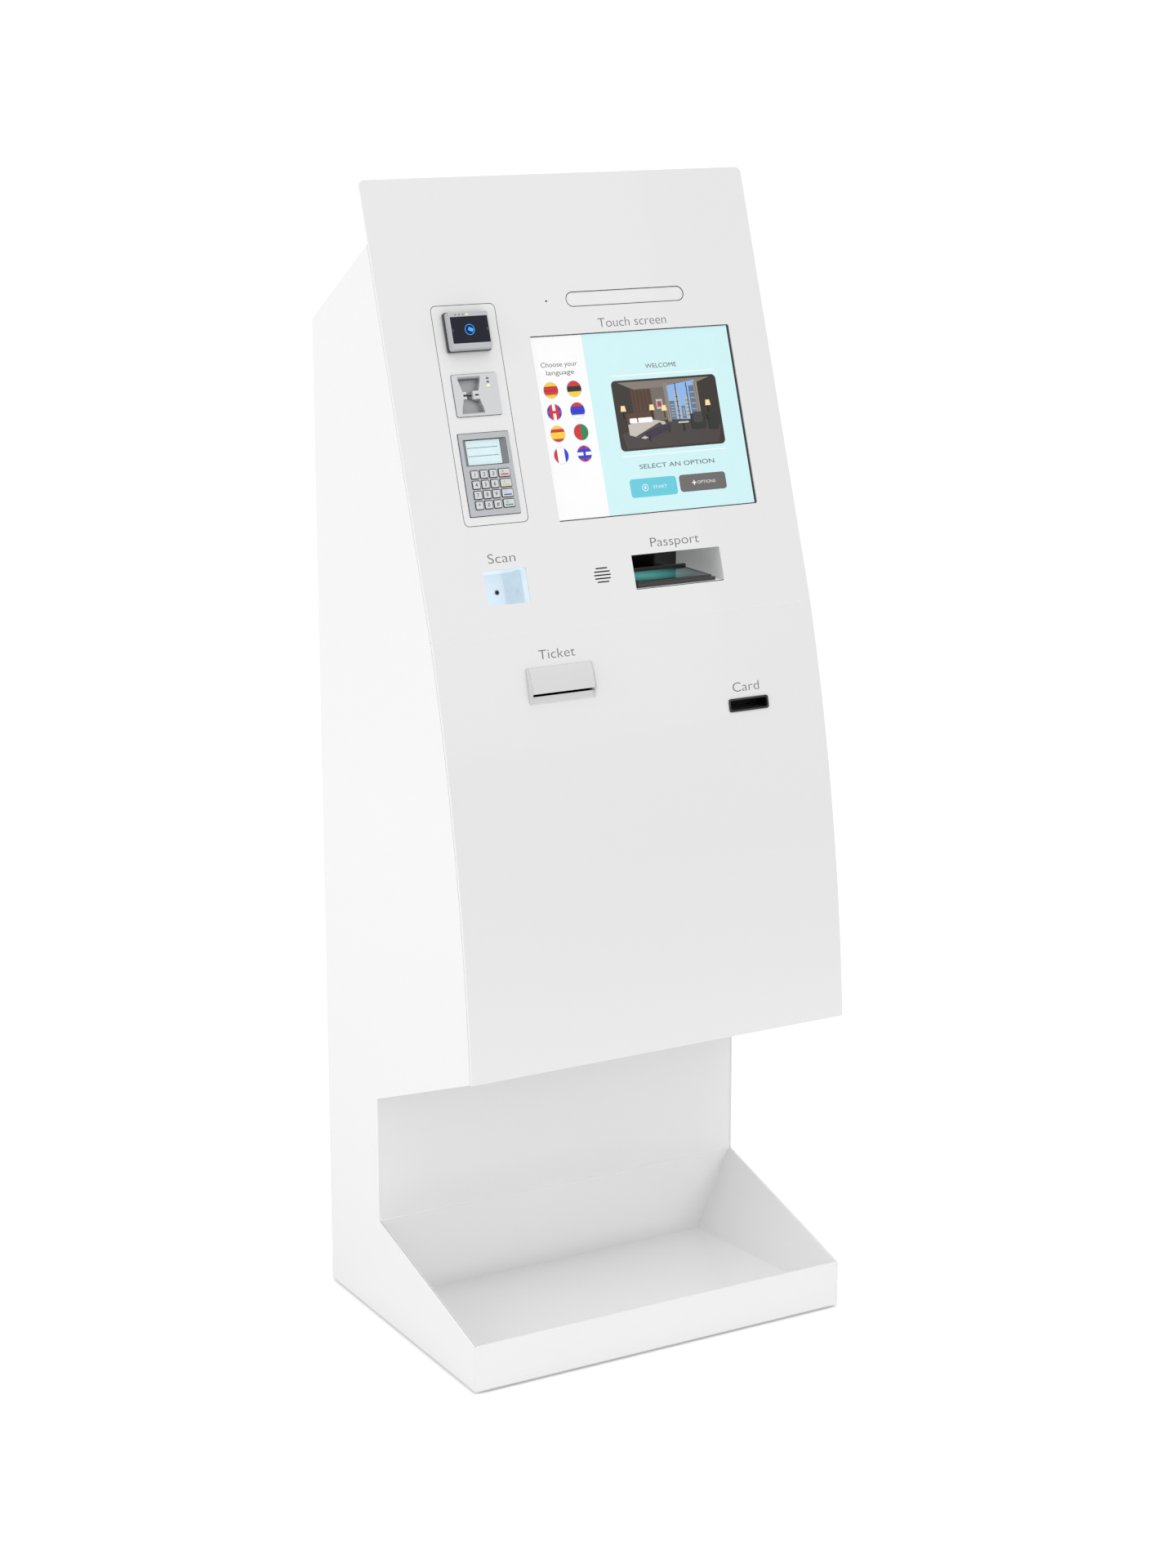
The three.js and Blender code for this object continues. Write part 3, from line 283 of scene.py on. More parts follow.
def rubbed_edges_and_highlight_group():
    """A mask of edges, for wear on most finishes and a painted highlight on the white ones: where a rounded
    normal leaves the true one.
    """
    group, into, out = new_group(
        "rubbed_edges_and_highlight", [("Width", VALUE, 0.0006), ("Amount", VALUE, 0.5)], [("Mask", VALUE)])
    rounded_normal = add(group, "ShaderNodeBevel", samples=4)
    shape = add(group, "ShaderNodeNewGeometry")
    likeness = add(group, "ShaderNodeVectorMath", operation="DOT_PRODUCT")
    bend = add(group, "ShaderNodeMapRange")
    bend.inputs["From Min"].default_value = EDGE_BEGINS
    bend.inputs["From Max"].default_value = EDGE_ENDS
    strength = add(group, "ShaderNodeMath", operation="MULTIPLY", use_clamp=True)
    group.links.new(into.outputs["Width"], rounded_normal.inputs["Radius"])
    group.links.new(rounded_normal.outputs["Normal"], likeness.inputs[0])
    group.links.new(shape.outputs["Normal"], likeness.inputs[1])
    group.links.new(likeness.outputs["Value"], bend.inputs["Value"])
    group.links.new(bend.outputs["Result"], strength.inputs[0])
    group.links.new(into.outputs["Amount"], strength.inputs[1])
    group.links.new(strength.outputs[0], out.inputs["Mask"])
    return group


EVEN, DRAWN_ACROSS = (1, 1, 1), (0.02, 1, 1)
soft_marks = soft_marks_group()
fine_grain = fine_grain_group("fine_grain", EVEN)
brushed_lines = fine_grain_group("brushed_lines", DRAWN_ACROSS)
two_tone = two_tone_group()
settled_dust = settled_dust_group()
rubbed_edges_and_highlight = rubbed_edges_and_highlight_group()
print("effects:", [group.name for group in bpy.data.node_groups])

# %% [markdown]
# One function puts the effects together. A painted panel is two nearly equal whites, a low roughness
# and a faint orange peel; a moulding is rougher with a sharper grain; steel swaps the even grain for
# brushed lines. Numbers that are the same all over a surface go straight on the shader.

# %% Finish maker
def use(tree, group, **values):
    node = add(tree, "ShaderNodeGroup", node_tree=group)
    for label, value in values.items():
        node.inputs[label].default_value = value
    return node


def grey(level):
    return (level, level, level)


def finish(name, first, second=None, roughness=0.35, marks=0.08, marks_scale=9.0, cloud=5.0,
           grain=900.0, depth=0.02, relief=fine_grain, metallic=0.0, coat=0.0, coat_roughness=0.05,
           dust=0.0, edge_wear_and_highlight=None, edge_wear_and_highlight_amount=0.0, glow=0.0, specular=0.5):
    """A procedural material: colour clouds, dust, an edge tone (wear, and a painted highlight on the white
    finishes), roughness marks and a fine relief.
    """
    material = bpy.data.materials.new(name)
    material.use_nodes = True
    tree = material.node_tree
    shader = tree.nodes["Principled BSDF"]
    colour = use(tree, two_tone, Scale=cloud, First=(*first, 1), Second=(*(second or first), 1))
    colour = colour.outputs["Colour"]
    if edge_wear_and_highlight:
        edges = use(tree, rubbed_edges_and_highlight, Amount=edge_wear_and_highlight_amount)
        mix = add(tree, "ShaderNodeMix", data_type="RGBA")
        mix.inputs["B"].default_value = (*edge_wear_and_highlight, 1)
        tree.links.new(edges.outputs["Mask"], mix.inputs["Factor"])
        tree.links.new(colour, mix.inputs["A"])
        colour = mix.outputs["Result"]
    if dust:
        dusty = use(tree, settled_dust, Amount=dust)
        tree.links.new(colour, dusty.inputs["Colour"])
        colour = dusty.outputs["Colour"]
    tree.links.new(colour, shader.inputs["Base Color"])
    rough = use(tree, soft_marks, Scale=marks_scale, Middle=roughness, Amount=marks)
    tree.links.new(rough.outputs["Value"], shader.inputs["Roughness"])
    height = use(tree, relief, Scale=grain, Depth=1.0)
    bump = add(tree, "ShaderNodeBump")
    bump.inputs["Strength"].default_value = 1.0
    bump.inputs["Distance"].default_value = depth * MM
    tree.links.new(height.outputs["Height"], bump.inputs["Height"])
    tree.links.new(bump.outputs["Normal"], shader.inputs["Normal"])
    shader.inputs["Metallic"].default_value = metallic
    shader.inputs["Coat Weight"].default_value = coat
    shader.inputs["Coat Roughness"].default_value = coat_roughness
    shader.inputs["Specular IOR Level"].default_value = specular
    if glow:
        tree.links.new(colour, shader.inputs["Emission Color"])
        shader.inputs["Emission Strength"].default_value = glow
    return material


# %% [markdown]
# The cabinet is white powder coat under clear lacquer. The equipment inside is graphite and zinc.
# The devices are silver-painted plastic with black glass. Colours are linear, so a light grey on the
# screen is a higher number here than its look suggests.

# %% Finishes of the cabinet and its equipment
# The white coat's edges are mixed towards a brighter white (0.97): a painted highlight along every edge, not
# wear.
white_coat = finish("white_coat", grey(0.86), grey(0.875), roughness=0.16, marks=0.05, marks_scale=5,
                    cloud=2.5, grain=380, depth=0.004, coat=0.5, coat_roughness=0.03, dust=0.02,
                    edge_wear_and_highlight=grey(0.97), edge_wear_and_highlight_amount=1.0)
# The code well's glow (0.27) is painted light; no lamp lights the well.
well_painted_light = finish("well_painted_light", (0.64, 0.72, 0.77), (0.78, 0.85, 0.90), roughness=0.2, grain=700,
                    depth=0.004, cloud=14, glow=0.27)
zinc = finish("zinc_sheet", (0.55, 0.57, 0.58), (0.68, 0.70, 0.71), roughness=0.38, marks=0.25,
              marks_scale=30, cloud=45, metallic=1.0, relief=brushed_lines, depth=0.01, dust=0.15)
steel = finish("bright_steel", (0.60, 0.61, 0.62), (0.70, 0.71, 0.72), roughness=0.27, marks=0.2,
               metallic=1.0, relief=brushed_lines, grain=1500, depth=0.012,
               edge_wear_and_highlight=(0.85, 0.86, 0.88), edge_wear_and_highlight_amount=0.7)
graphite = finish("graphite_moulding", grey(0.035), grey(0.055), roughness=0.5, marks=0.15,
                  grain=1600, depth=0.03, dust=0.2, edge_wear_and_highlight=grey(0.12), edge_wear_and_highlight_amount=0.6)
gloss_black = finish("gloss_black", grey(0.006), grey(0.010), roughness=0.12, marks=0.06, grain=600,
                     depth=0.002, coat=0.6, edge_wear_and_highlight=grey(0.05), edge_wear_and_highlight_amount=0.5)
silver = finish("silver_moulding", (0.50, 0.52, 0.54), (0.56, 0.58, 0.60), roughness=0.32, marks=0.1,
                grain=1800, depth=0.010, metallic=0.35, edge_wear_and_highlight=(0.72, 0.74, 0.76), edge_wear_and_highlight_amount=0.6)
device_grey = finish("device_grey", (0.20, 0.21, 0.22), (0.25, 0.26, 0.27), roughness=0.4, grain=1600,
                     depth=0.012, edge_wear_and_highlight=grey(0.4), edge_wear_and_highlight_amount=0.5)
key_metal = finish("key_metal", (0.66, 0.68, 0.70), (0.74, 0.76, 0.78), roughness=0.25, marks=0.12,
                   grain=2200, depth=0.008, metallic=0.8, edge_wear_and_highlight=grey(0.9), edge_wear_and_highlight_amount=0.6)
rubber = finish("dark_rubber", grey(0.018), grey(0.035), roughness=0.75, marks=0.2, grain=900,
                depth=0.05, dust=0.35)
paper = finish("thermal_paper", (0.86, 0.85, 0.80), (0.91, 0.90, 0.86), roughness=0.85, grain=260,
               depth=0.04, relief=brushed_lines)
# A faint glow (0.05) lifts the milky window: painted light, as no lamp is behind it.
milk = finish("milky_window_painted_glow", grey(0.80), grey(0.88), roughness=0.12, grain=900, depth=0.003,
              cloud=22, coat=0.4, glow=0.05)
ink = finish("printed_grey", (0.12, 0.12, 0.135), (0.15, 0.15, 0.165), roughness=0.5, grain=2500,
             depth=0.004)
# Black for the speaker cloth, and painted shade for the rings and sheets that stand for shade in gaps and
# hollows.
cloth_and_shade_black = finish("cloth_and_shade_black", grey(0.010), grey(0.020), roughness=0.6, marks=0.15, grain=1400,
                     depth=0.01, specular=0.2)
pale_silver = finish("pale_silver", (0.64, 0.65, 0.67), (0.72, 0.73, 0.75), roughness=0.26, marks=0.1,
                     grain=1800, depth=0.008, coat=0.2, edge_wear_and_highlight=grey(0.88), edge_wear_and_highlight_amount=0.6)
print("finishes so far:", len(bpy.data.materials))

# %% [markdown]
# Every new piece ends the same way: doubles merged, normals turned outwards, laid in its place, given
# its finish, and hung on the body that carries it.

# %% Finishing a piece
WIDE_FACES_LEAD = 90        # above 50, wide faces count for more in a corner's normal


def even_normals(piece):
    """Lets wide faces lead the shading, so a flat face stays flat right up to its rounded rim."""
    weighted = piece.modifiers.new("normals", "WEIGHTED_NORMAL")
    weighted.weight = WIDE_FACES_LEAD
    weighted.keep_sharp = True


def keep(name, bm, material, body="cabinet", axes=FLAT, smooth=30, replaces=()):
    """Turns a bmesh into a finished piece that rides on a body."""
    bmesh.ops.remove_doubles(bm, verts=bm.verts, dist=0.5e-6)
    bmesh.ops.recalc_face_normals(bm, faces=bm.faces)
    bmesh.ops.transform(bm, matrix=axes, verts=bm.verts)
    mesh = bpy.data.meshes.new(name)
    bm.to_mesh(mesh)
    bm.free()
    materials = material if isinstance(material, (list, tuple)) else [material]
    for item in materials:
        mesh.materials.append(item)
    mesh.shade_smooth()
    mesh.set_sharp_from_angle(angle=math.radians(smooth))
    piece = bpy.data.objects.new(name, mesh)
    scene.collection.objects.link(piece)
    even_normals(piece)
    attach(piece, body)
    if replaces:
        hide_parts(*replaces)
    print(name, "has", len(mesh.polygons), "faces and rides on", body)
    return piece


# %% [markdown]
# Flat parts are drawn as a filled curve with a little thickness and a rounded rim, which gives holes
# and soft edges in one step. The outlines are lists of points: round-cornered boxes and discs.

# %% Outlines and flat parts
def rounded(x0, x1, y0, y1, radius, steps=8):
    """The outline of a rectangle with round corners."""
    corners = ((x1 - radius, y0 + radius, -90), (x1 - radius, y1 - radius, 0),
               (x0 + radius, y1 - radius, 90), (x0 + radius, y0 + radius, 180))
    points = []
    for x, y, start in corners:
        for i in range(steps + 1):
            turn = math.radians(start + 90 * i / steps)
            points.append((x + radius * math.cos(turn), y + radius * math.sin(turn)))
    return points


def around(low, high, grow=0.0, radius=1 * MM, steps=8):
    """A rounded outline around a span, grown or shrunk all round."""
    return rounded(low[0] - grow, high[0] + grow, low[1] - grow, high[1] + grow, radius, steps)


def disc(x, y, radius, steps=40):
    turns = [2 * math.pi * i / steps for i in range(steps)]
    return [(x + radius * math.cos(turn), y + radius * math.sin(turn)) for turn in turns]


def slab(outlines, back, front, rim=0.0, rim_steps=1):
    """A flat part from back to front, with any inner outlines as holes and a rounded rim."""
    curve = bpy.data.curves.new("draft", "CURVE")
    curve.dimensions = "2D"
    curve.fill_mode = "BOTH"
    curve.extrude = (front - back) / 2 - rim
    curve.bevel_depth = rim
    curve.bevel_resolution = rim_steps
    curve.offset = -rim
    for outline in outlines:
        spline = curve.splines.new("POLY")
        spline.points.add(len(outline) - 1)
        for point, (x, y) in zip(spline.points, outline):
            point.co = (x, y, 0, 1)
        spline.use_cyclic_u = True
    return drafted(curve, Matrix.Translation((0, 0, (front + back) / 2)))


def drafted(curve, matrix):
    """Makes a drawn curve a mesh, moves it to its height and throws the curve away."""
    draft = bpy.data.objects.new("draft", curve)
    mesh = bpy.data.meshes.new_from_object(draft)
    bpy.data.objects.remove(draft)
    bm = bmesh.new()
    bm.from_mesh(mesh)
    bpy.data.meshes.remove(mesh)
    bmesh.ops.remove_doubles(bm, verts=bm.verts, dist=1e-6)
    bmesh.ops.transform(bm, matrix=matrix, verts=bm.verts)
    return bm


# %% [markdown]
# Print is the built-in lettering, made a mesh and then stretched to a measured width and height.
# Several parts of one finish or one device are joined, so a device is a few pieces and not fifty.

# %% Print and joined parts
CAPITAL = 0.67              # height of a capital in the built-in lettering, for a size of 1
PRINT = 0.06 * MM           # how far print stands off its surface


def words(text, x, y, height, level, width=None, middle=False, thin=0.010):
    """A line of raised print. Its capitals have the height given, and x is its left end or middle."""
    curve = bpy.data.curves.new("draft", "FONT")
    curve.body = text
    curve.offset = -thin
    curve.extrude = 0.5
    bm = drafted(curve, CABINET)
    left = min(v.co.x for v in bm.verts)
    right = max(v.co.x for v in bm.verts)
    size = height / CAPITAL
    stretch = width / (right - left) if width else size
    start = x - stretch * ((left + right) / 2 if middle else left)
    place = Matrix.Translation((start, y, level)) @ Matrix.Diagonal((stretch, size, PRINT, 1))
    bmesh.ops.transform(bm, matrix=place, verts=bm.verts)
    return bm


def merged(*parts):
    """Joins several bmeshes into one, each with the material number given beside it."""
    whole = bmesh.new()
    for part in parts:
        bm, number = part if isinstance(part, tuple) else (part, 0)
        for face in bm.faces:
            face.material_index = number
        mesh = bpy.data.meshes.new("draft")
        bm.to_mesh(mesh)
        bm.free()
        whole.from_mesh(mesh)
        bpy.data.meshes.remove(mesh)
    return whole


# %% [markdown]
# No real edge is perfectly sharp. Small blocks are bevelled in their mesh. The cabinet's own solids
# are left as they are, and modifiers weld, clean and round them instead.

# %% Soft edges
FLAT_ANGLE = 0.3            # degrees: faces closer than this are one flat face
SHARP_ANGLE = 35            # degrees: edges sharper than this are rounded


def soft_block(low, high, rim):
    """A block with rounded edges, for the small solid parts of a device."""
    bm = bmesh.new()
    size = Vector(high) - Vector(low)
    middle = (Vector(high) + Vector(low)) / 2
    place = Matrix.Translation(middle) @ Matrix.Diagonal((*size, 1))
    bmesh.ops.create_cube(bm, size=1.0, matrix=place)
    bmesh.ops.bevel(bm, geom=bm.edges, offset=rim, segments=2, profile=0.5, affect="EDGES", material=-1)
    return bm


def soften(node, width):
    """Rounds the edges of a cabinet node, after its loose triangles are welded into clean faces."""
    piece = nodes[node]
    weld = piece.modifiers.new("weld", "WELD")
    weld.merge_threshold = 0.01 * MM
    dissolve = piece.modifiers.new("clean", "DECIMATE")
    dissolve.decimate_type = "DISSOLVE"
    dissolve.angle_limit = math.radians(FLAT_ANGLE)
    bevel = piece.modifiers.new("edges", "BEVEL")
    bevel.width = width
    bevel.segments = 2
    bevel.limit_method = "ANGLE"
    bevel.angle_limit = math.radians(SHARP_ANGLE)
    even_normals(piece)


def dress(names, material, width=0.0):
    """Gives cabinet nodes their finish and, where a width is given, soft edges."""
    for name in names:
        mesh = nodes[name].data
        mesh.materials.clear()
        mesh.materials.append(material)
        if width:
            soften(name, width)
    print(material.name, "on", ", ".join(names))


# %% [markdown]
# The folded cabinet panels keep their own solids. A real fold or a cut edge of coated sheet has a
# radius of about a millimetre, and that radius catches a thin bright line along each edge; the white coat's
# finish adds a painted highlight there as well.
# The tray pan is so thin that a round edge would spoil its shading, so it keeps its own.

# %% Cabinet panels and hidden equipment
dress(["left_side_panel", "right_side_panel", "front_plinth", "recess_panel", "underside_panel",
       "top_cover", "rear_door"], white_coat, 0.6 * MM)
dress(["rear_frame"], white_coat, 0.4 * MM)
dress(["tray_pan"], white_coat)
dress(["base_plate", "inner_shelf"], zinc, 0.4 * MM)
dress(["door_hinge", "door_lock", "ticket_printer", "card_dispenser"], steel, 0.3 * MM)
dress(["computer_case", "power_supply", "camera_module", "code_scanner"], graphite, 0.8 * MM)
dress(["display_module"], graphite, 1.2 * MM)
dress(["speaker"], graphite)
dress(["cooling_fan", "power_switch"], gloss_black, 0.3 * MM)
dress(["foot_front_left", "foot_front_right", "foot_rear_left", "foot_rear_right"], rubber, 0.6 * MM)
dress(["platen_roller", "feed_roller"], rubber, 0.2 * MM)
dress(["paper_roll"], paper, 0.3 * MM)

# %% [markdown]
# A bead a little whiter than the coat covers the joints a customer can see: along the tray's rear rim,
# behind the plinth, down both ends of the recess and along the fold. Its whiteness is a painted highlight
# for the bright line those edges catch. Each bead is a long bar with round edges.

# %% Beads with a painted highlight
BEAD = 0.5 * MM             # how far a bead stands proud of the sheets it joins
BEAD_ROUND = 0.4 * MM
# Whiter than the coat, so the beads read as bright lines: a painted highlight.
bead_highlight = finish("bead_painted_highlight", grey(0.90), grey(0.94), roughness=0.3, grain=700, depth=0.01, coat=0.2)


tray_low, tray_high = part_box("tray_pan")
recess_low, recess_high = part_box("recess_panel")
plinth_low, plinth_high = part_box("front_plinth")
beads = [
    soft_block((tray_low[0], recess_low[1] - BEAD, tray_high[2] - 0.5 * MM),
               (tray_high[0], recess_low[1] + 1 * MM, recess_low[2] + BEAD), BEAD_ROUND),
    soft_block((tray_low[0], plinth_high[1] - 0.5 * MM, plinth_high[2] - 1.5 * MM),
               (tray_high[0], tray_low[1] + 0.6 * MM, plinth_high[2] + 0.1 * MM), BEAD_ROUND),
]
for side in (-1, 1):
    end = side * recess_high[0]
    left, right = sorted((end - side * 0.6 * MM, end + side * 0.4 * MM))
    beads.append(soft_block((left, recess_low[1] - BEAD, recess_low[2]),
                            (right, recess_low[1] + 0.8 * MM, recess_high[2] - 1 * MM), BEAD_ROUND))
keep("painted_highlight_beads", merged(*beads), bead_highlight, axes=CABINET)
fold_reach, fold_half = half_width - 0.3 * MM, 0.45 * MM
fold_painted_highlight = slab([rounded(-fold_reach, fold_reach, -fold_half, fold_half, 0.2 * MM)],
                 -1.2 * MM, -0.2 * MM, 0.1 * MM)
keep("fold_painted_highlight", fold_painted_highlight, bead_highlight)

# %% [markdown]
# The upper sheet is flat, with the round-ended camera window, the screen opening, the device plate's
# opening, the code well, the sound hole, five speaker slots and the passport slot cut through it.
# The openings come from the pieces that sit in them, so a part and its hole always agree.

# %% Openings of the upper sheet
SLOT_COUNT = 5
SLOT_PITCH = 5 * MM
SLOT_HEIGHT = 1.9 * MM
SPEAKER_REACH = 14 * MM

sheet_low, sheet_high = span("upper_fascia")
screen_low, screen_high = span("touch_glass")
window_low, window_high = span("camera_window")
DEVICE_LAP = 6.7 * MM       # the device plate's hidden flange, behind the sheet
HOOD_WALL = 2 * MM


def span_inside(node, wall):
    """A node's span with a wall taken off its four sides."""
    low, high = span(node)
    return low + Vector((wall, wall, 0)), high - Vector((wall, wall, 0))


plate_low, plate_high = span_inside("device_plate", DEVICE_LAP)
well_low, well_high = span_inside("code_hood", HOOD_WALL)
speaker_low, speaker_high = span("speaker")
speaker_middle = (speaker_low + speaker_high) / 2

# The passport slot's four edges, where the level hood meets the leaning sheet.
hood_low, hood_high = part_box("passport_hood")
slot_left, slot_right = hood_low[0] + HOOD_WALL, hood_high[0] - HOOD_WALL
slot_bottom = (hood_low[2] - fold.z) / math.cos(lean)
slot_top = (hood_high[2] - HOOD_WALL - fold.z) / math.cos(lean)


def speaker_slots(grow=0.0):
    """Five slots with round ends, whose lengths fill a circle."""
    for i in range(SLOT_COUNT):
        rise = (i - (SLOT_COUNT - 1) / 2) * SLOT_PITCH
        reach = math.sqrt(SPEAKER_REACH ** 2 - rise ** 2) + grow
        half = SLOT_HEIGHT / 2 + grow
        x, y = speaker_middle.x, speaker_middle.y + rise
        yield rounded(x - reach, x + reach, y - half, y + half, half, 5)


MICROPHONE = (-48.8 * MM, 473.4 * MM, 1.5 * MM)
window_radius = (window_high.y - window_low.y) / 2 + 0.4 * MM
openings = [
    around(screen_low, screen_high, 0.5 * MM, 3 * MM),
    around(window_low, window_high, 0.4 * MM, window_radius, 14),
    around(plate_low, plate_high, 0.7 * MM, 8 * MM),
    around(well_low, well_high, 0, 1 * MM),
    rounded(slot_left, slot_right, slot_bottom, slot_top, 1 * MM),
    disc(*MICROPHONE, 24),
    *speaker_slots(),
]
print("openings in the upper sheet:", len(openings))

# %% [markdown]
# The sheet runs on above the cabinet as a header with two round corners. Black cloth fills the
# speaker slots and the sound hole from behind.

# %% Upper front sheet
HEADER_RADIUS = 9 * MM
SHEET_EDGE = 0.35 * MM      # rounding of the sheets' cut edges
FOLD_EDGE = 0.3 * MM        # both sheets stop this far from the fold, which leaves a fine joint
GRILLE_DEPTH = 0.5 * MM     # the cloth lies this far below the face
CLOTH_GAP = 0.03 * MM


def header_outline():
    """Square at the fold, round at the two upper corners."""
    round_part = rounded(-half_width, half_width, 0, sheet_high.y, HEADER_RADIUS, 12)
    corner = len(round_part) // 4
    return [(-half_width, FOLD_EDGE), (half_width, FOLD_EDGE)] + round_part[corner:3 * corner]


keep("upper_sheet", slab([header_outline(), *openings], -SHEET, 0, SHEET_EDGE), white_coat,
     replaces=["upper_fascia"])
cloth_shapes = [*speaker_slots(-CLOTH_GAP), disc(*MICROPHONE[:2], MICROPHONE[2] - CLOTH_GAP, 24)]
cloths = [slab([shape], -SHEET - 0.4 * MM, -GRILLE_DEPTH) for shape in cloth_shapes]
keep("sound_cloths", merged(*cloths), cloth_and_shade_black)

# %% [markdown]
# The lower sheet is rolled to a large radius. A line across the kiosk, with a point wherever a cut-out
# begins or ends, is spun about the roll's axis in five stretches, so the cut-outs fall on clean rows
# of faces. Those faces are deleted, and the shell then gets its thickness.

# %% Lower front sheet
ROW = 9 * MM                # height of one row of faces
ticket_low, ticket_high = span("ticket_bezel", TICKET)
card_low, card_high = span("card_bezel", CARD)
TICKET_HOLE = (50.3 * MM, 20.3 * MM)
CARD_HOLE = (33.4 * MM, 8.8 * MM)


def lower_shell():
    """The rolled sheet with its two cut-outs, thickened inwards."""
    rows = [FOLD_EDGE, ticket_down - TICKET_HOLE[1], ticket_down + TICKET_HOLE[1],
            card_down - CARD_HOLE[1], card_down + CARD_HOLE[1], bow_length]
    columns = [-half_width, ticket_across - TICKET_HOLE[0], ticket_across + TICKET_HOLE[0],
               card_across - CARD_HOLE[0], card_across + CARD_HOLE[0], half_width]
    bm = bmesh.new()
    turn = chord_tilt + bow_half - FOLD_EDGE / bow_radius
    start = bow_centre + bow_radius * Vector((0, -math.cos(turn), math.sin(turn)))
    line = [bm.verts.new((x, start.y, start.z)) for x in columns]
    edges = [bm.edges.new(pair) for pair in zip(line, line[1:])]
    last = line + edges
    for upper, lower in zip(rows, rows[1:]):
        steps = max(1, round((lower - upper) / ROW))
        swept = bmesh.ops.spin(bm, geom=last, cent=bow_centre, axis=(1, 0, 0), steps=steps,
                               angle=(lower - upper) / bow_radius, use_duplicate=False)
        last = swept["geom_last"]
    cut = []
    for axes, reach in ((TICKET, TICKET_HOLE), (CARD, CARD_HOLE)):
        inverse = axes.inverted()
        for face in bm.faces:
            place = inverse @ face.calc_center_median()
            if abs(place.x) < reach[0] and abs(place.y) < reach[1]:
                cut.append(face)
    bmesh.ops.delete(bm, geom=cut, context="FACES")
    bmesh.ops.remove_doubles(bm, verts=bm.verts, dist=1e-6)
    bmesh.ops.recalc_face_normals(bm, faces=bm.faces)
    if sum(face.normal.y for face in bm.faces) > 0:
        bmesh.ops.reverse_faces(bm, faces=bm.faces)
    bmesh.ops.solidify(bm, geom=bm.faces, thickness=SHEET)
    return bm


lower_sheet = keep("lower_sheet", lower_shell(), white_coat, axes=CABINET,
                   replaces=["lower_fascia"])
edge_round = lower_sheet.modifiers.new("edges", "BEVEL")
edge_round.width = SHEET_EDGE
edge_round.segments = 2
edge_round.limit_method = "ANGLE"
edge_round.angle_limit = math.radians(50)
lower_sheet.modifiers.move(1, 0)        # the rounding comes first, then the even normals
depths = [v.co.y for v in lower_sheet.data.vertices]
print("lower sheet runs from y", round(min(depths), 4), "to", round(max(depths), 4))

# %% [markdown]
# The payment devices share one plate. It is let into the upper sheet with a fine black ring around
# it, painted shade for the gap, and a wider flange behind holds it there.

# %% Device plate
pinpad_low, pinpad_high = span("pinpad_body")
reader_low, reader_high = span("card_reader")
tap_low, tap_high = span("contactless_reader")
FLANGE = 2 * MM
PLATE_DEPTH = 5.3 * MM
device_holes = [
    around(pinpad_low, pinpad_high, 0.8 * MM, 1.5 * MM),
    around(reader_low, reader_high, -4 * MM, 2 * MM),
    around(tap_low, tap_high, -9 * MM, 3 * MM),
]
plate_front = slab([around(plate_low, plate_high, 0, 7.5 * MM, 12), *device_holes],
                   -PLATE_DEPTH, 0, 0.4 * MM)
flange_front = -SHEET - 0.3 * MM
plate_flange = slab([around(plate_low, plate_high, 6 * MM, 8 * MM), *device_holes],
                    flange_front - FLANGE, flange_front)
keep("device_panel", merged(plate_front, plate_flange), white_coat,
     replaces=["device_plate"])


def shade_ring(low, high, outer, inner, back, front, rim, steps=8):
    """A flat ring. Outer and inner each say how far they grow past the span, and a corner radius."""
    return slab([around(low, high, *outer, steps), around(low, high, *inner, steps)], back, front, rim)


# Black rings in the gaps round the plate, the PIN pad and the card reader: painted shade.
device_gap_shade = merged(
    shade_ring(plate_low, plate_high, (0.66 * MM, 8 * MM), (0.04 * MM, 7.5 * MM),
         -2.2 * MM, -0.18 * MM, 0.1 * MM, 12),
    shade_ring(pinpad_low, pinpad_high, (0.78 * MM, 1.5 * MM), (0.04 * MM, 1.6 * MM),
         -2.2 * MM, 0.12 * MM, 0.1 * MM),
    shade_ring(reader_low, reader_high, (0.6 * MM, 3.4 * MM), (0.02 * MM, 3 * MM),
         0.02 * MM, 0.42 * MM, 0.08 * MM))
keep("device_gap_shade", device_gap_shade, cloth_and_shade_black)

# %% [markdown]
# The contactless reader is two shells: a black back and a silver front that narrows towards its face.
# A black glass covers most of the face. It has a lit blue ring with a small card in it, a notch at
# each side, and four lamps in the band above, the last one lit.

# %% Contactless reader
lit_blue = finish("lit_blue", (0.01, 0.22, 0.75), (0.02, 0.30, 0.90), roughness=0.3, glow=0.8)
lit_lime = finish("lit_lime", (0.55, 0.80, 0.08), (0.65, 0.85, 0.12), roughness=0.3, glow=1.0)
lamp_off = finish("lamp_off", grey(0.09), grey(0.12), roughness=0.2)
reader_black = finish("reader_glass_black", (0.006, 0.007, 0.016), (0.012, 0.012, 0.028), roughness=0.08,
                      marks=0.04, grain=500, depth=0.001, cloud=30, specular=0.22)


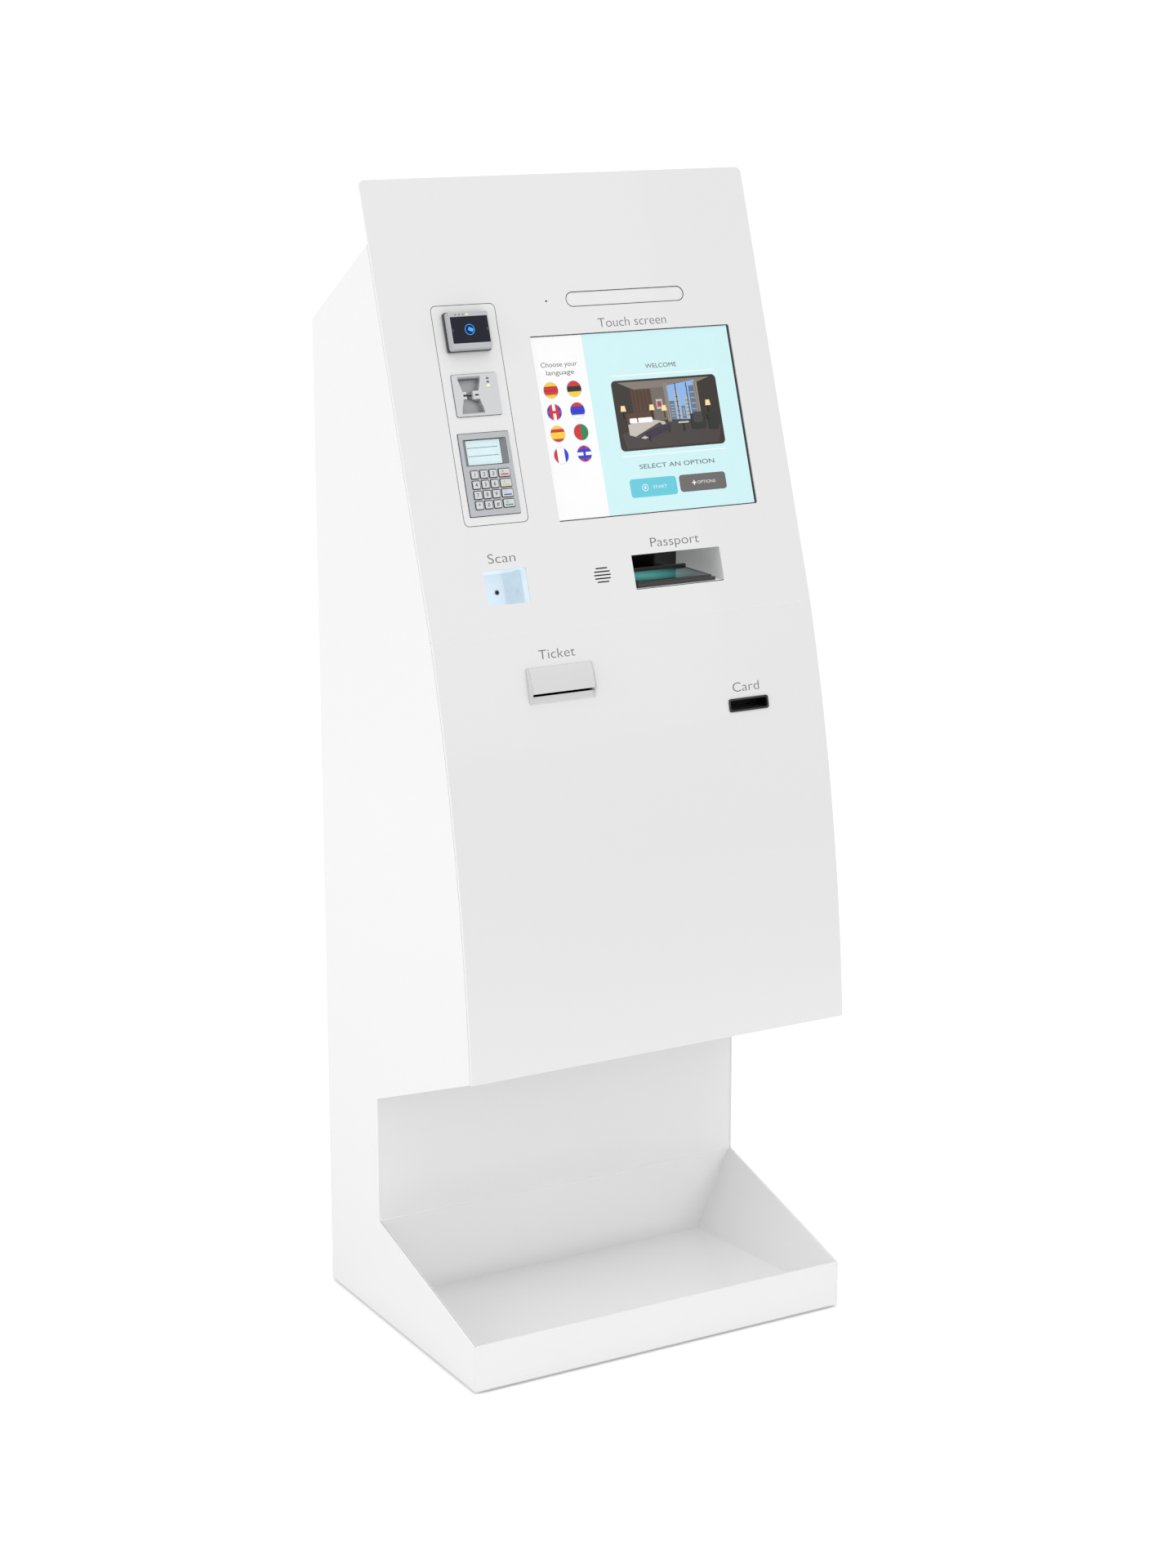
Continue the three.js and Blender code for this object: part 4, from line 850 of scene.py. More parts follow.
def tapered_case(low, high, back, front, taper, corner, rim):
    """A case that narrows towards its face, with round uprights and a soft front edge."""
    bm = slab([rounded(low.x, high.x, low.y, high.y, corner)], back, front)
    middle = (low + high) / 2
    for vert in bm.verts:
        if vert.co.z > (back + front) / 2:
            vert.co.x = middle.x + (vert.co.x - middle.x) * (1 - 2 * taper / (high.x - low.x))
            vert.co.y = middle.y + (vert.co.y - middle.y) * (1 - taper / (high.y - low.y))
    bmesh.ops.dissolve_limit(bm, angle_limit=math.radians(1), verts=bm.verts, edges=bm.edges)
    face_rim = [e for e in bm.edges if all(v.co.z > front - 1e-6 for v in e.verts)]
    bmesh.ops.bevel(bm, geom=face_rim, offset=rim, segments=3, profile=0.5, affect="EDGES", material=-1)
    return bm


tap_front = tap_high.z
tap_middle = (tap_low + tap_high) / 2
CASE_INSET = Vector((1.2 * MM, 1.2 * MM, 0))
keep("contactless_back", slab([around(tap_low, tap_high, 0, 3 * MM)], 0.4 * MM, 6 * MM, 0.8 * MM, 2),
     gloss_black)
keep("contactless_case",
     tapered_case(tap_low + CASE_INSET, tap_high - CASE_INSET, 5.8 * MM, tap_front - 0.2 * MM,
                  1.6 * MM, 3.2 * MM, 1.3 * MM),
     silver, replaces=["contactless_reader"])

glass_low = Vector((tap_low.x + 4.6 * MM, tap_low.y + 10.5 * MM, 0))
glass_high = Vector((tap_high.x - 4.6 * MM, tap_high.y - 8.5 * MM, 0))
keep("contactless_glass", slab([around(glass_low, glass_high, 0, 1.2 * MM)], tap_front - 0.8 * MM,
                               tap_front - 0.08 * MM, 0.25 * MM), reader_black)

# %% [markdown]
# The sign shows a customer where to hold a card. It is thin relief just inside the glass, and the
# lamps are small flat blocks let into the case above it.

# %% Contactless sign and lamps
def contactless_symbol():
    """A ring round a small tilted card, and a notch at each side of the glass."""
    x, y = tap_middle.x - 1 * MM, (glass_low.y + glass_high.y) / 2
    back, front = tap_front - 0.10 * MM, tap_front - 0.02 * MM
    ring = slab([disc(x, y, 7.8 * MM), disc(x, y, 7.0 * MM)], back, front)
    card = slab([rounded(-4.0 * MM, 4.0 * MM, -2.5 * MM, 2.5 * MM, 0.8 * MM)], back, front)
    turn = Matrix.Translation((x + 1.6 * MM, y, 0)) @ Matrix.Rotation(math.radians(-24), 4, "Z")
    bmesh.ops.transform(card, matrix=turn, verts=card.verts)
    marks = []
    for side, edge in ((1, glass_low.x + 1.6 * MM), (-1, glass_high.x - 1.6 * MM)):
        tip = edge + side * 1.8 * MM
        marks.append((slab([[(edge, y + 2.6 * MM), (tip, y), (edge, y - 2.6 * MM), (edge, y - 1.9 * MM),
                             (tip - side * 0.6 * MM, y), (edge, y + 1.9 * MM)]], back, front), 1))
    return merged((ring, 0), (card, 0), *marks)


keep("contactless_symbol", contactless_symbol(), [lit_blue, device_grey])

LAMP_PITCH = 6.2 * MM
LAMP_COUNT = 4


def lamp_row():
    """Small lamps in a row, of which the last is lit and a little wider."""
    lamps = []
    for i in range(LAMP_COUNT):
        x = tap_low.x + 14 * MM + i * LAMP_PITCH
        y = glass_high.y + 2.8 * MM
        is_lit = i == LAMP_COUNT - 1
        reach = (1.9 if is_lit else 1.4) * MM
        lamp = slab([rounded(x - reach, x + reach, y - 0.7 * MM, y + 0.7 * MM, 0.3 * MM)],
                    tap_front - 0.6 * MM, tap_front - 0.05 * MM, 0.1 * MM)
        lamps.append((lamp, 1 if is_lit else 0))
    return merged(*lamps)


keep("contactless_lamps", lamp_row(), [lamp_off, lit_lime])

# %% [markdown]
# The card reader's face is a silver frame around a waisted recess, where thumb and finger hold a
# card. The recess is a second wall behind the frame with a floor across it.

# %% Card reader face
reader_left, reader_right = reader_low.x, reader_high.x
slot_y = (reader_low.y + reader_high.y) / 2
reader_face = reader_high.z
RECESS_DEPTH = 9 * MM
EDGE = 3.5 * MM             # width of the frame above and below the recess


def waist(steps=16):
    """The recess outline: straight at its ends, drawn in towards the slot by two curves."""
    top, bottom = reader_high.y - EDGE, reader_low.y + EDGE
    left, right, neck = reader_left + 9 * MM, reader_left + 45 * MM, 5.5 * MM
    points = []
    for start, end, x, inwards in ((bottom, top, right, -1), (top, bottom, left, 1)):
        for i in range(steps + 1):
            share = i / steps
            y = start + (end - start) * share
            points.append((x + inwards * neck * math.sin(math.pi * share) ** 2, y))
    return points


reader_recess = finish("reader_recess", (0.42, 0.43, 0.44), (0.50, 0.51, 0.52), roughness=0.22, marks=0.1,
                       grain=1500, depth=0.006, coat=0.3)
reader_frame = slab([around(reader_low, reader_high, 0, 3 * MM), waist()],
                    0.4 * MM, reader_face, 0.5 * MM, 2)
behind_frame = around(reader_low, reader_high, -5.2 * MM, 2 * MM)
recess_wall = slab([behind_frame, waist()], -RECESS_DEPTH, 0.6 * MM)
recess_floor = slab([behind_frame], -RECESS_DEPTH - 1.5 * MM, -RECESS_DEPTH)
keep("card_reader_face", merged((reader_frame, 0), (recess_wall, 1), (recess_floor, 1)),
     [pale_silver, reader_recess], replaces=["card_reader"])

# %% [markdown]
# A bar crosses the recess at mid height: a block at the left with two teeth, two jaws over a dark
# throat, and a slotted plate at the right. Three marks stand above the plate.

# %% Card reader bar and marks
BLOCK_HALF = 6.8 * MM       # half height of the block at the left of the bar
PLATE_HALF = 6 * MM
TOOTH_HALF = 1.9 * MM
TOOTH_OFFSET = 3.4 * MM
SLOT_HALF = 1.1 * MM


def reader_tooth(side):
    y = slot_y + side * TOOTH_OFFSET
    return soft_block((reader_left + 12 * MM, y - TOOTH_HALF, -2 * MM),
                      (reader_left + 20 * MM, y + TOOTH_HALF, reader_face - 0.3 * MM), 0.5 * MM)


def reader_bar():
    left_block = soft_block((reader_left + 0.6 * MM, slot_y - BLOCK_HALF, -2 * MM),
                            (reader_left + 15 * MM, slot_y + BLOCK_HALF, reader_face - 0.7 * MM), 0.7 * MM)
    teeth = [reader_tooth(side) for side in (-1, 1)]
    slot = rounded(reader_left + 33 * MM, reader_right - 3 * MM,
                   slot_y - SLOT_HALF, slot_y + SLOT_HALF, 0.5 * MM)
    plate_edge = rounded(reader_left + 30 * MM, reader_right - 0.7 * MM,
                         slot_y - PLATE_HALF, slot_y + PLATE_HALF, 1.2 * MM)
    plate = slab([plate_edge, slot], -4 * MM, reader_face - 0.1 * MM, 0.4 * MM)
    jaws = []
    for side in (-1, 1):
        near, far = slot_y + side * SLOT_HALF, slot_y + side * 11 * MM
        jaws.append(slab([[(reader_left + 24 * MM, near), (reader_left + 45 * MM, near),
                           (reader_left + 45 * MM, far), (reader_left + 33 * MM, slot_y + side * 7 * MM)]],
                         -RECESS_DEPTH + 0.2 * MM, -2.5 * MM, 0.4 * MM))
    throat = soft_block((reader_left + 20 * MM, slot_y - 3 * MM, -RECESS_DEPTH + 0.1 * MM),
                        (reader_right - 2.5 * MM, slot_y + 3 * MM, -5 * MM), 0.4 * MM)
    return merged((left_block, 0), *[(tooth, 1) for tooth in teeth], (plate, 1),
                  *[(jaw, 0) for jaw in jaws], (throat, 2))


keep("card_reader_bar", reader_bar(), [device_grey, pale_silver, gloss_black])


def reader_marks():
    marks = []
    x = reader_right - 15.5 * MM
    for i in range(3):
        y = reader_high.y - (7.5 + 5.2 * i) * MM
        mark = slab([rounded(x - 2.1 * MM, x + 2.1 * MM, y - 1.3 * MM, y + 1.3 * MM, 0.3 * MM)],
                    reader_face - 0.3 * MM, reader_face + 0.04 * MM)
        marks.append((mark, 1 if i == 2 else 0))
    return merged(*marks)


keep("card_reader_marks", reader_marks(), [lamp_off, lit_lime])

# %% [markdown]
# The PIN pad's face is one silver moulding with a window at the top and a hole for each key, and a
# thin black frame round each hole, painted shade for the gap beside each key. The black tub behind it ends
# below the keys' travel.

# %% PIN pad
lcd_low, lcd_high = span("pinpad_display")
PINPAD_SKIN = 4.5 * MM
KEY_TRAVEL = 1.5 * MM
pad_face = pinpad_high.z
pad_window = rounded(lcd_low.x - 5.6 * MM, lcd_high.x + 9 * MM,
                     lcd_low.y - 1.6 * MM, lcd_high.y + 1.2 * MM, 1.5 * MM)
key_names = [name for name in nodes if name.startswith("key_")]
key_holes = [around(*span(name), 0.4 * MM, 1.3 * MM, 4) for name in key_names]
pad_front = slab([around(pinpad_low, pinpad_high, 0, 1.6 * MM), pad_window, *key_holes],
                 pad_face - PINPAD_SKIN, pad_face, 0.4 * MM)
keep("pinpad_face", pad_front, silver, replaces=["pinpad_body"])
tub_top = min(span(name)[0].z for name in key_names) - KEY_TRAVEL - 0.2 * MM
# The tub is black so that it shows as a dark line round each key: painted shade.
keep("pinpad_shade_tub", soft_block((pinpad_low.x + 1 * MM, pinpad_low.y + 1 * MM, pinpad_low.z),
                              (pinpad_high.x - 1 * MM, pinpad_high.y - 1 * MM, tub_top),
                              1.5 * MM), gloss_black)


# Black frames round each key hole: painted shade for the gap beside each key.
key_gap_shade = [shade_ring(*span(name), (1.15 * MM, 2.0 * MM), (0.42 * MM, 1.3 * MM),
                   pad_face - 0.5 * MM, pad_face + 0.12 * MM, 0.06 * MM, 4) for name in key_names]
keep("key_gap_shade", merged(*key_gap_shade), cloth_and_shade_black)

# %% [markdown]
# The display lies deep in the window between two rails that slope down to it. Two rows of dashes
# stand for its text, so that no words have to be read there.

# %% PIN pad display
lcd_glow = finish("lcd_glow", (0.66, 0.86, 0.91), (0.80, 0.95, 0.98), roughness=0.12, cloud=60, grain=500,
                  depth=0.001, glow=0.06)
lcd_ink = finish("lcd_ink", grey(0.05), grey(0.08), roughness=0.4)
DASH = 3.4 * MM
DASH_HALF = 0.42 * MM
DASH_PITCH = 4.1 * MM


def pinpad_screen():
    """The lit display with two broken lines on it, and a sloping rail at each side."""
    back = pad_face - PINPAD_SKIN
    glass = slab([around(lcd_low, lcd_high, 0, 0.6 * MM)], back, back + 0.8 * MM, 0.2 * MM)
    parts = [(glass, 0)]
    for share in (0.36, 0.70):
        y = lcd_low.y + (lcd_high.y - lcd_low.y) * share
        x = lcd_low.x + 1.5 * MM
        while x < lcd_high.x - 4 * MM:
            dash = slab([rounded(x, x + DASH, y - DASH_HALF, y + DASH_HALF, 0.15 * MM)],
                        back + 0.7 * MM, back + 0.86 * MM)
            parts.append((dash, 1))
            x += DASH_PITCH
    left_rail = (lcd_low.x - 0.4 * MM, lcd_low.x - 5.2 * MM)
    right_rail = (lcd_high.x + 0.4 * MM, lcd_high.x + 8.6 * MM)
    for inner, outer in (left_rail, right_rail):
        rail = slab([rounded(min(inner, outer), max(inner, outer),
                             lcd_low.y - 1.2 * MM, lcd_high.y + 0.8 * MM, 0.6 * MM)],
                    back, pad_face - 0.5 * MM)
        for vert in rail.verts:
            if vert.co.z > back + 1 * MM and abs(vert.co.x - inner) < 1 * MM:
                vert.co.z = back + 1.2 * MM
        parts.append((rail, 2))
    return merged(*parts)


keep("pinpad_screen", pinpad_screen(), [lcd_glow, lcd_ink, device_grey],
     replaces=["pinpad_display"])

# %% [markdown]
# A key cap is a small block with round uprights, a rounded top edge and a shallow dish for the
# fingertip. The numbers are dark print. The four wide keys at the right carry a coloured bar each.

# %% Key caps
KEY_SIGNS = {"star": "*", "hash": "#", "cancel": "X", "clear": "<", "help": "?", "enter": "O"}
bar_red = finish("bar_red", (0.60, 0.03, 0.04), (0.68, 0.05, 0.05), roughness=0.35)
bar_yellow = finish("bar_yellow", (0.80, 0.62, 0.06), (0.85, 0.68, 0.10), roughness=0.35)
bar_blue = finish("bar_blue", (0.04, 0.10, 0.50), (0.06, 0.14, 0.58), roughness=0.35)
bar_green = finish("bar_green", (0.03, 0.36, 0.16), (0.05, 0.42, 0.20), roughness=0.35)
KEY_BARS = {"cancel": bar_red, "clear": bar_yellow, "help": bar_blue, "enter": bar_green}
DISH_DEPTH = 0.18 * MM


def key_cap(low, high):
    bm = slab([rounded(low.x, high.x, low.y, high.y, 1.2 * MM, 4)], low.z, high.z)
    bmesh.ops.dissolve_limit(bm, angle_limit=math.radians(1), verts=bm.verts, edges=bm.edges)
    top_rim = [e for e in bm.edges if all(v.co.z > high.z - 1e-6 for v in e.verts)]
    bmesh.ops.bevel(bm, geom=top_rim, offset=0.6 * MM, segments=3, profile=0.5, affect="EDGES",
                    material=-1)
    top = [f for f in bm.faces if f.calc_center_median().z > high.z - 1e-6 and f.normal.z > 0.99]
    bmesh.ops.inset_region(bm, faces=top, thickness=0.7 * MM, depth=-DISH_DEPTH)
    return bm


def key_label(sign, middle, dish):
    """A number low on a square key, or a small sign above the bar of a wide one."""
    has_bar = sign in KEY_BARS
    x = middle.x - (2.6 * MM if has_bar else 0)
    y = middle.y + (0.2 * MM if has_bar else -2.6 * MM)
    height = 3.0 * MM if has_bar else 5.2 * MM
    return words(KEY_SIGNS.get(sign, sign), x, y, height, dish, middle=True, thin=-0.012)


for name in key_names:
    sign = name.split("_")[1]
    low, high = span(name)
    dish = high.z - DISH_DEPTH
    parts = [(key_cap(low, high), 0), (key_label(sign, (low + high) / 2, dish), 1)]
    finishes = [key_metal, lcd_ink]
    if sign in KEY_BARS:
        bar = rounded(low.x + 2.4 * MM, high.x - 2.4 * MM, low.y + 2.0 * MM, low.y + 4.0 * MM, 0.3 * MM)
        parts.append((slab([bar], dish - 0.1 * MM, dish + 0.05 * MM), 2))
        finishes.append(KEY_BARS[sign])
    keep("cap_" + sign, merged(*parts), finishes, body=name, replaces=[name])

# %% [markdown]
# The screen is black glass with a lit picture under its face. The picture is a stack of very thin
# sheets, each a little in front of the last: a white column with round language buttons, and a pale
# blue page with a picture, two buttons and a few words.

# %% Screen finishes
SCREEN_GLOW = 0.14          # on top of the room light it already throws back
SHADE = 0.96                # the deeper of a patch's two tones


def lit(name, colour):
    """A patch of picture: its own colour, a shade deeper in slow clouds, and a little light of its own."""
    deeper = tuple(channel * SHADE for channel in colour)
    return finish(name, deeper, colour, roughness=0.14, marks=0.04, grain=300, depth=0.001, cloud=40,
                  glow=SCREEN_GLOW)


screen_colours = {
    "white": (0.93, 0.93, 0.93), "cyan": (0.62, 0.87, 0.89), "teal": (0.13, 0.58, 0.70),
    "button_grey": (0.14, 0.135, 0.13), "text": (0.10, 0.10, 0.11), "rim": (0.55, 0.75, 0.80),
    "crimson": (0.60, 0.02, 0.03), "amber": (0.90, 0.60, 0.03), "navy": (0.02, 0.03, 0.60),
    "green": (0.02, 0.22, 0.06), "black": (0.01, 0.01, 0.01),
    "room_dark": (0.030, 0.022, 0.018), "room_wood": (0.085, 0.040, 0.022),
    "room_wall": (0.16, 0.135, 0.11), "room_ceiling": (0.22, 0.19, 0.16),
    "room_floor": (0.055, 0.045, 0.042), "room_sky": (0.25, 0.45, 0.80),
    "room_tower": (0.12, 0.17, 0.26), "room_tower_pale": (0.40, 0.46, 0.52),
    "room_linen": (0.55, 0.50, 0.46), "room_throw": (0.05, 0.05, 0.055),
    "room_bench": (0.035, 0.022, 0.045), "room_lamp": (0.95, 0.72, 0.38),
    "room_curtain": (0.28, 0.25, 0.22), "room_chair": (0.018, 0.022, 0.018),
    "room_picture": (0.35, 0.05, 0.10),
}
screen_names = list(screen_colours)
screen_finishes = [lit("screen_" + name, colour) for name, colour in screen_colours.items()]
print("colours on the screen:", len(screen_finishes))

# %% [markdown]
# Two sheets at the same height would flicker or share their edges, so each sheet goes a hair's
# breadth in front of the last. A small class keeps count of the height and of the finishes.

# %% Drawing tools for the screen
LAYER = 0.02 * MM
TEXT_LIFT = 0.03 * MM


class Picture:
    """Thin coloured sheets, each stacked a little further out than the one before."""

    def __init__(self, level):
        self.level = level
        self.parts = []

    def sheet(self, colour, *outlines, lift=1):
        self.level += LAYER * lift
        part = slab(list(outlines), self.level - LAYER / 2, self.level)
        self.parts.append((part, screen_names.index(colour)))

    def text(self, colour, line, x, y, height, **how):
        print_bm = words(line, x, y, height, self.level + TEXT_LIFT, middle=True, **how)
        self.parts.append((print_bm, screen_names.index(colour)))


def box_outline(x0, x1, y0, y1):
    return [(x0, y0), (x1, y0), (x1, y1), (x0, y1)]


def disc_band(x, y, radius, low, upright, steps=12):
    """The part of a disc above a height from -1 to 1, or to the right of such an upright line."""
    first, last = math.asin(low), math.pi / 2
    angles = [first + (last - first) * i / steps for i in range(steps + 1)]
    right = [(radius * math.cos(a), radius * math.sin(a)) for a in angles]
    points = right + [(-a, b) for a, b in reversed(right)]
    points = [p for i, p in enumerate(points) if math.dist(p, points[i - 1]) > 1e-6]
    return [(x + (b if upright else a), y + (a if upright else b)) for a, b in points]


# %% [markdown]
# The picture shows a hotel bedroom at dusk, as flat shapes in the room's colours. Its points are
# shares of the picture's width and height, so it can be moved or resized as a whole.

# %% Bedroom picture
PICTURE_LEFT, PICTURE_RIGHT = 37 * MM, 216 * MM
PICTURE_BOTTOM, PICTURE_TOP = 246 * MM, 350.5 * MM


def room_point(share_x, share_y):
    return (PICTURE_LEFT + (PICTURE_RIGHT - PICTURE_LEFT) * share_x,
            PICTURE_BOTTOM + (PICTURE_TOP - PICTURE_BOTTOM) * share_y)


def room_shape(*shares):
    return [room_point(*share) for share in shares]


def room_box(x0, x1, y0, y1):
    return room_shape((x0, y0), (x1, y0), (x1, y1), (x0, y1))


def room_soft_box(x0, x1, y0, y1, radius):
    left, bottom = room_point(x0, y0)
    right, top = room_point(x1, y1)
    return rounded(left, right, bottom, top, radius)


def draw_room(picture):
    """A plain bedroom: wood wall, window with a skyline, bed, bench, lamps and an armchair."""
    picture.sheet("room_dark", rounded(PICTURE_LEFT, PICTURE_RIGHT, PICTURE_BOTTOM, PICTURE_TOP, 7 * MM))
    picture.sheet("room_ceiling", room_shape((0.06, 0.97), (0.94, 0.97), (0.80, 0.90), (0.50, 0.86),
                                             (0.20, 0.86)))
    picture.sheet("room_floor", room_shape((0.06, 0.03), (0.94, 0.03), (0.98, 0.26), (0.80, 0.40),
                                           (0.30, 0.36), (0.03, 0.24)))
    picture.sheet("room_wood", room_box(0.17, 0.36, 0.42, 0.86))
    picture.sheet("room_wall", room_box(0.36, 0.50, 0.40, 0.87))
    for i in range(5):
        x = 0.19 + i * 0.036
        picture.sheet("room_dark", room_box(x, x + 0.006, 0.42, 0.86), lift=0.2)
    picture.sheet("room_sky", room_shape((0.50, 0.40), (0.79, 0.38), (0.79, 0.94), (0.50, 0.88)))
    towers = ((0.52, 0.05, 0.66, 0), (0.575, 0.045, 0.80, 1), (0.63, 0.035, 0.58, 0), (0.668, 0.05, 0.72, 1),
              (0.725, 0.055, 0.86, 0))
    for x, width, top, pale in towers:
        picture.sheet("room_tower_pale" if pale else "room_tower", room_box(x, x + width, 0.40, top))
        for storey in range(5):
            y = 0.44 + storey * (top - 0.46) / 5
            picture.sheet("room_tower" if pale else "room_tower_pale",
                          room_box(x + 0.008, x + width - 0.008, y, y + 0.012), lift=0.1)
    for x in (0.595, 0.70):
        picture.sheet("room_dark", room_box(x, x + 0.008, 0.39, 0.91))
    for x in (0.485, 0.775):
        picture.sheet("room_curtain", room_box(x, x + 0.035, 0.37, 0.92))
        picture.sheet("room_wall", room_box(x + 0.012, x + 0.018, 0.37, 0.92), lift=0.2)
    picture.sheet("room_linen", room_box(0.395, 0.455, 0.56, 0.70))
    picture.sheet("room_picture", room_box(0.405, 0.445, 0.59, 0.67))
    picture.sheet("room_wood", room_shape((0.09, 0.38), (0.33, 0.44), (0.33, 0.55), (0.09, 0.52)))
    picture.sheet("room_linen", room_shape((0.10, 0.22), (0.24, 0.15), (0.46, 0.30), (0.45, 0.38),
                                           (0.30, 0.43), (0.10, 0.37)))
    for x in (0.12, 0.20, 0.265):
        picture.sheet("white", room_soft_box(x, x + 0.07, 0.385, 0.455, 1.6 * MM))
    picture.sheet("room_throw", room_shape((0.155, 0.195), (0.20, 0.17), (0.43, 0.325), (0.40, 0.375)))
    picture.sheet("room_bench", room_shape((0.245, 0.19), (0.30, 0.16), (0.50, 0.27), (0.50, 0.33),
                                           (0.44, 0.34), (0.245, 0.24)))
    for x, y in ((0.28, 0.12), (0.475, 0.22)):
        picture.sheet("black", room_box(x, x + 0.012, y, y + 0.08))
    for x, y in ((0.075, 0.56), (0.345, 0.55), (0.46, 0.53), (0.885, 0.56)):
        picture.sheet("black", room_box(x - 0.003, x + 0.003, y - 0.10, y))
        picture.sheet("room_lamp", room_shape((x - 0.026, y), (x + 0.026, y), (x + 0.018, y + 0.08),
                                              (x - 0.018, y + 0.08)))
    picture.sheet("room_chair", room_soft_box(0.70, 0.84, 0.24, 0.46, 3 * MM))
    picture.sheet("room_throw", room_soft_box(0.725, 0.815, 0.33, 0.48, 3 * MM))
    picture.sheet("room_chair", room_soft_box(0.865, 0.955, 0.22, 0.44, 2 * MM))
    picture.sheet("room_linen", room_soft_box(0.575, 0.675, 0.335, 0.36, 0.9 * MM))
    picture.sheet("black", room_box(0.62, 0.63, 0.22, 0.335))


# %% [markdown]
# Each language button is a disc with plain coloured bands, and no band stands for a real flag. Every
# band covers the rest of its disc, and the next one lies on top of it.

# %% Language buttons
BUTTON_RADIUS = 12.6 * MM
BUTTON_COLUMNS = (-63.4 * MM, -24.9 * MM)
BUTTON_ROWS = (343.5 * MM, 311.6 * MM, 279.7 * MM, 248.0 * MM)
BUTTON_RIM = 0.8 * MM
CROSS_HALF = 2 * MM         # half the width of the bar across two of the buttons
UPRIGHT_BANDS = (2, 5, 6)   # the buttons whose bands stand upright
BUTTON_BANDS = (
    ("amber", "crimson", "crimson", "amber"), ("amber", "black", "crimson"),
    ("navy", "crimson", "white", "crimson", "navy"), ("white", "navy", "navy", "crimson"),
    ("crimson", "amber", "amber", "crimson", "amber"), ("crimson", "crimson", "green", "green"),
    ("crimson", "white", "white", "navy"), ("crimson", "navy", "white", "navy", "crimson"),
)


def draw_buttons(picture):
    """Two columns of round buttons, of which two have a bar across their bands."""
    radius = BUTTON_RADIUS - BUTTON_RIM
    reach = radius * 0.95
    base = picture.level
    for i, bands in enumerate(BUTTON_BANDS):
        x, y = BUTTON_COLUMNS[i % 2], BUTTON_ROWS[i // 2]
        picture.level = base
        picture.sheet("rim", disc(x, y, BUTTON_RADIUS), lift=0.5)
        for k, colour in enumerate(bands):
            low = -1 + 2 * k / len(bands)
            picture.sheet(colour, disc_band(x, y, radius, low, i in UPRIGHT_BANDS), lift=0.5)
        if i == 7:
            picture.sheet("navy", box_outline(x - CROSS_HALF, x + CROSS_HALF, y - reach, y + reach))
        if i == 2:
            picture.sheet("crimson", box_outline(x - reach, x + reach, y - CROSS_HALF, y + CROSS_HALF))
    picture.level = base + 5 * LAYER


# %% [markdown]
# The page is laid out in millimetres above the fold and right of the kiosk's middle. Everything is
# stacked under the face of the glass, so the screen stays the outermost thing a hand would touch.

# %% Screen
COLUMN_EDGE = 0.3 * MM      # where the white column meets the pale blue page
COLUMN_MIDDLE = -43.5 * MM
RULE_HALF = 0.7 * MM
PICTURE_BED = 1.15 * MM     # the black glass lies this far under its face, and the picture on it
glass_face = screen_high.z
page = [screen_low.x + 0.7 * MM, screen_high.x - 3.2 * MM,
        screen_low.y + 1.3 * MM, screen_high.y - 0.9 * MM]


def draw_screen():
    """The page and its column, two rules, two buttons with their icons, words, buttons and picture."""
    picture = Picture(glass_face - PICTURE_BED + 0.03 * MM)
    picture.sheet("cyan", box_outline(*page))
    picture.sheet("white", box_outline(page[0], COLUMN_EDGE, *page[2:]))
    for y in (238.5 * MM, 357.5 * MM):
        picture.sheet("white", box_outline(38 * MM, 216 * MM, y - RULE_HALF, y + RULE_HALF), lift=0.5)
    picture.sheet("teal", rounded(42 * MM, 121 * MM, 177 * MM, 204.5 * MM, 5 * MM), lift=0.5)
    picture.sheet("button_grey", rounded(126 * MM, 206 * MM, 179 * MM, 204.5 * MM, 5 * MM), lift=0)
    picture.text("text", "WELCOME", 126 * MM, 366.2 * MM, 6.2 * MM, width=53 * MM, thin=0)
    picture.text("text", "SELECT AN OPTION", 127 * MM, 218.6 * MM, 6.4 * MM, width=128 * MM, thin=0)
    picture.text("white", "START", 92 * MM, 188.4 * MM, 4.4 * MM, width=24 * MM)
    picture.text("white", "OPTIONS", 172 * MM, 189.6 * MM, 4.4 * MM, width=31 * MM)
    picture.sheet("white", disc(67 * MM, 190.7 * MM, 5.2 * MM), disc(67 * MM, 190.7 * MM, 4.3 * MM), lift=0.5)
    picture.sheet("white", rounded(65.7 * MM, 68.3 * MM, 188.4 * MM, 193 * MM, 1.2 * MM), lift=0)
    picture.sheet("white", box_outline(147.5 * MM, 154.5 * MM, 190.9 * MM, 192.7 * MM), lift=0)
    picture.sheet("white", box_outline(150.1 * MM, 151.9 * MM, 188.3 * MM, 195.3 * MM), lift=0)
    picture.text("text", "Choose your", COLUMN_MIDDLE, 377.4 * MM, 6.8 * MM, width=60 * MM, thin=0.002)
    picture.text("text", "language", COLUMN_MIDDLE, 365.6 * MM, 6.8 * MM, width=46 * MM, thin=0.002)
    draw_buttons(picture)
    draw_room(picture)
    print("front of the picture is", round((glass_face - picture.level) / MM, 3), "mm behind the glass face")
    return merged(*picture.parts)


keep("screen_glass", slab([around(screen_low, screen_high, 0.3 * MM, 2.6 * MM)], screen_low.z,
                          glass_face - PICTURE_BED, 0.2 * MM), gloss_black,
     replaces=["touch_glass"])
keep("screen_picture", draw_screen(), screen_finishes)

# %% [markdown]
# The camera sits behind a long milky window with round ends, which has a faint painted glow. A black ring
# runs around it: painted shade for the gap at its edge.

# %% Camera window
keep("window_strip", slab([around(window_low, window_high, 0, window_radius - 0.4 * MM, 14)], -SHEET,
                          -0.7 * MM, 0.5 * MM, 2), milk, replaces=["camera_window"])
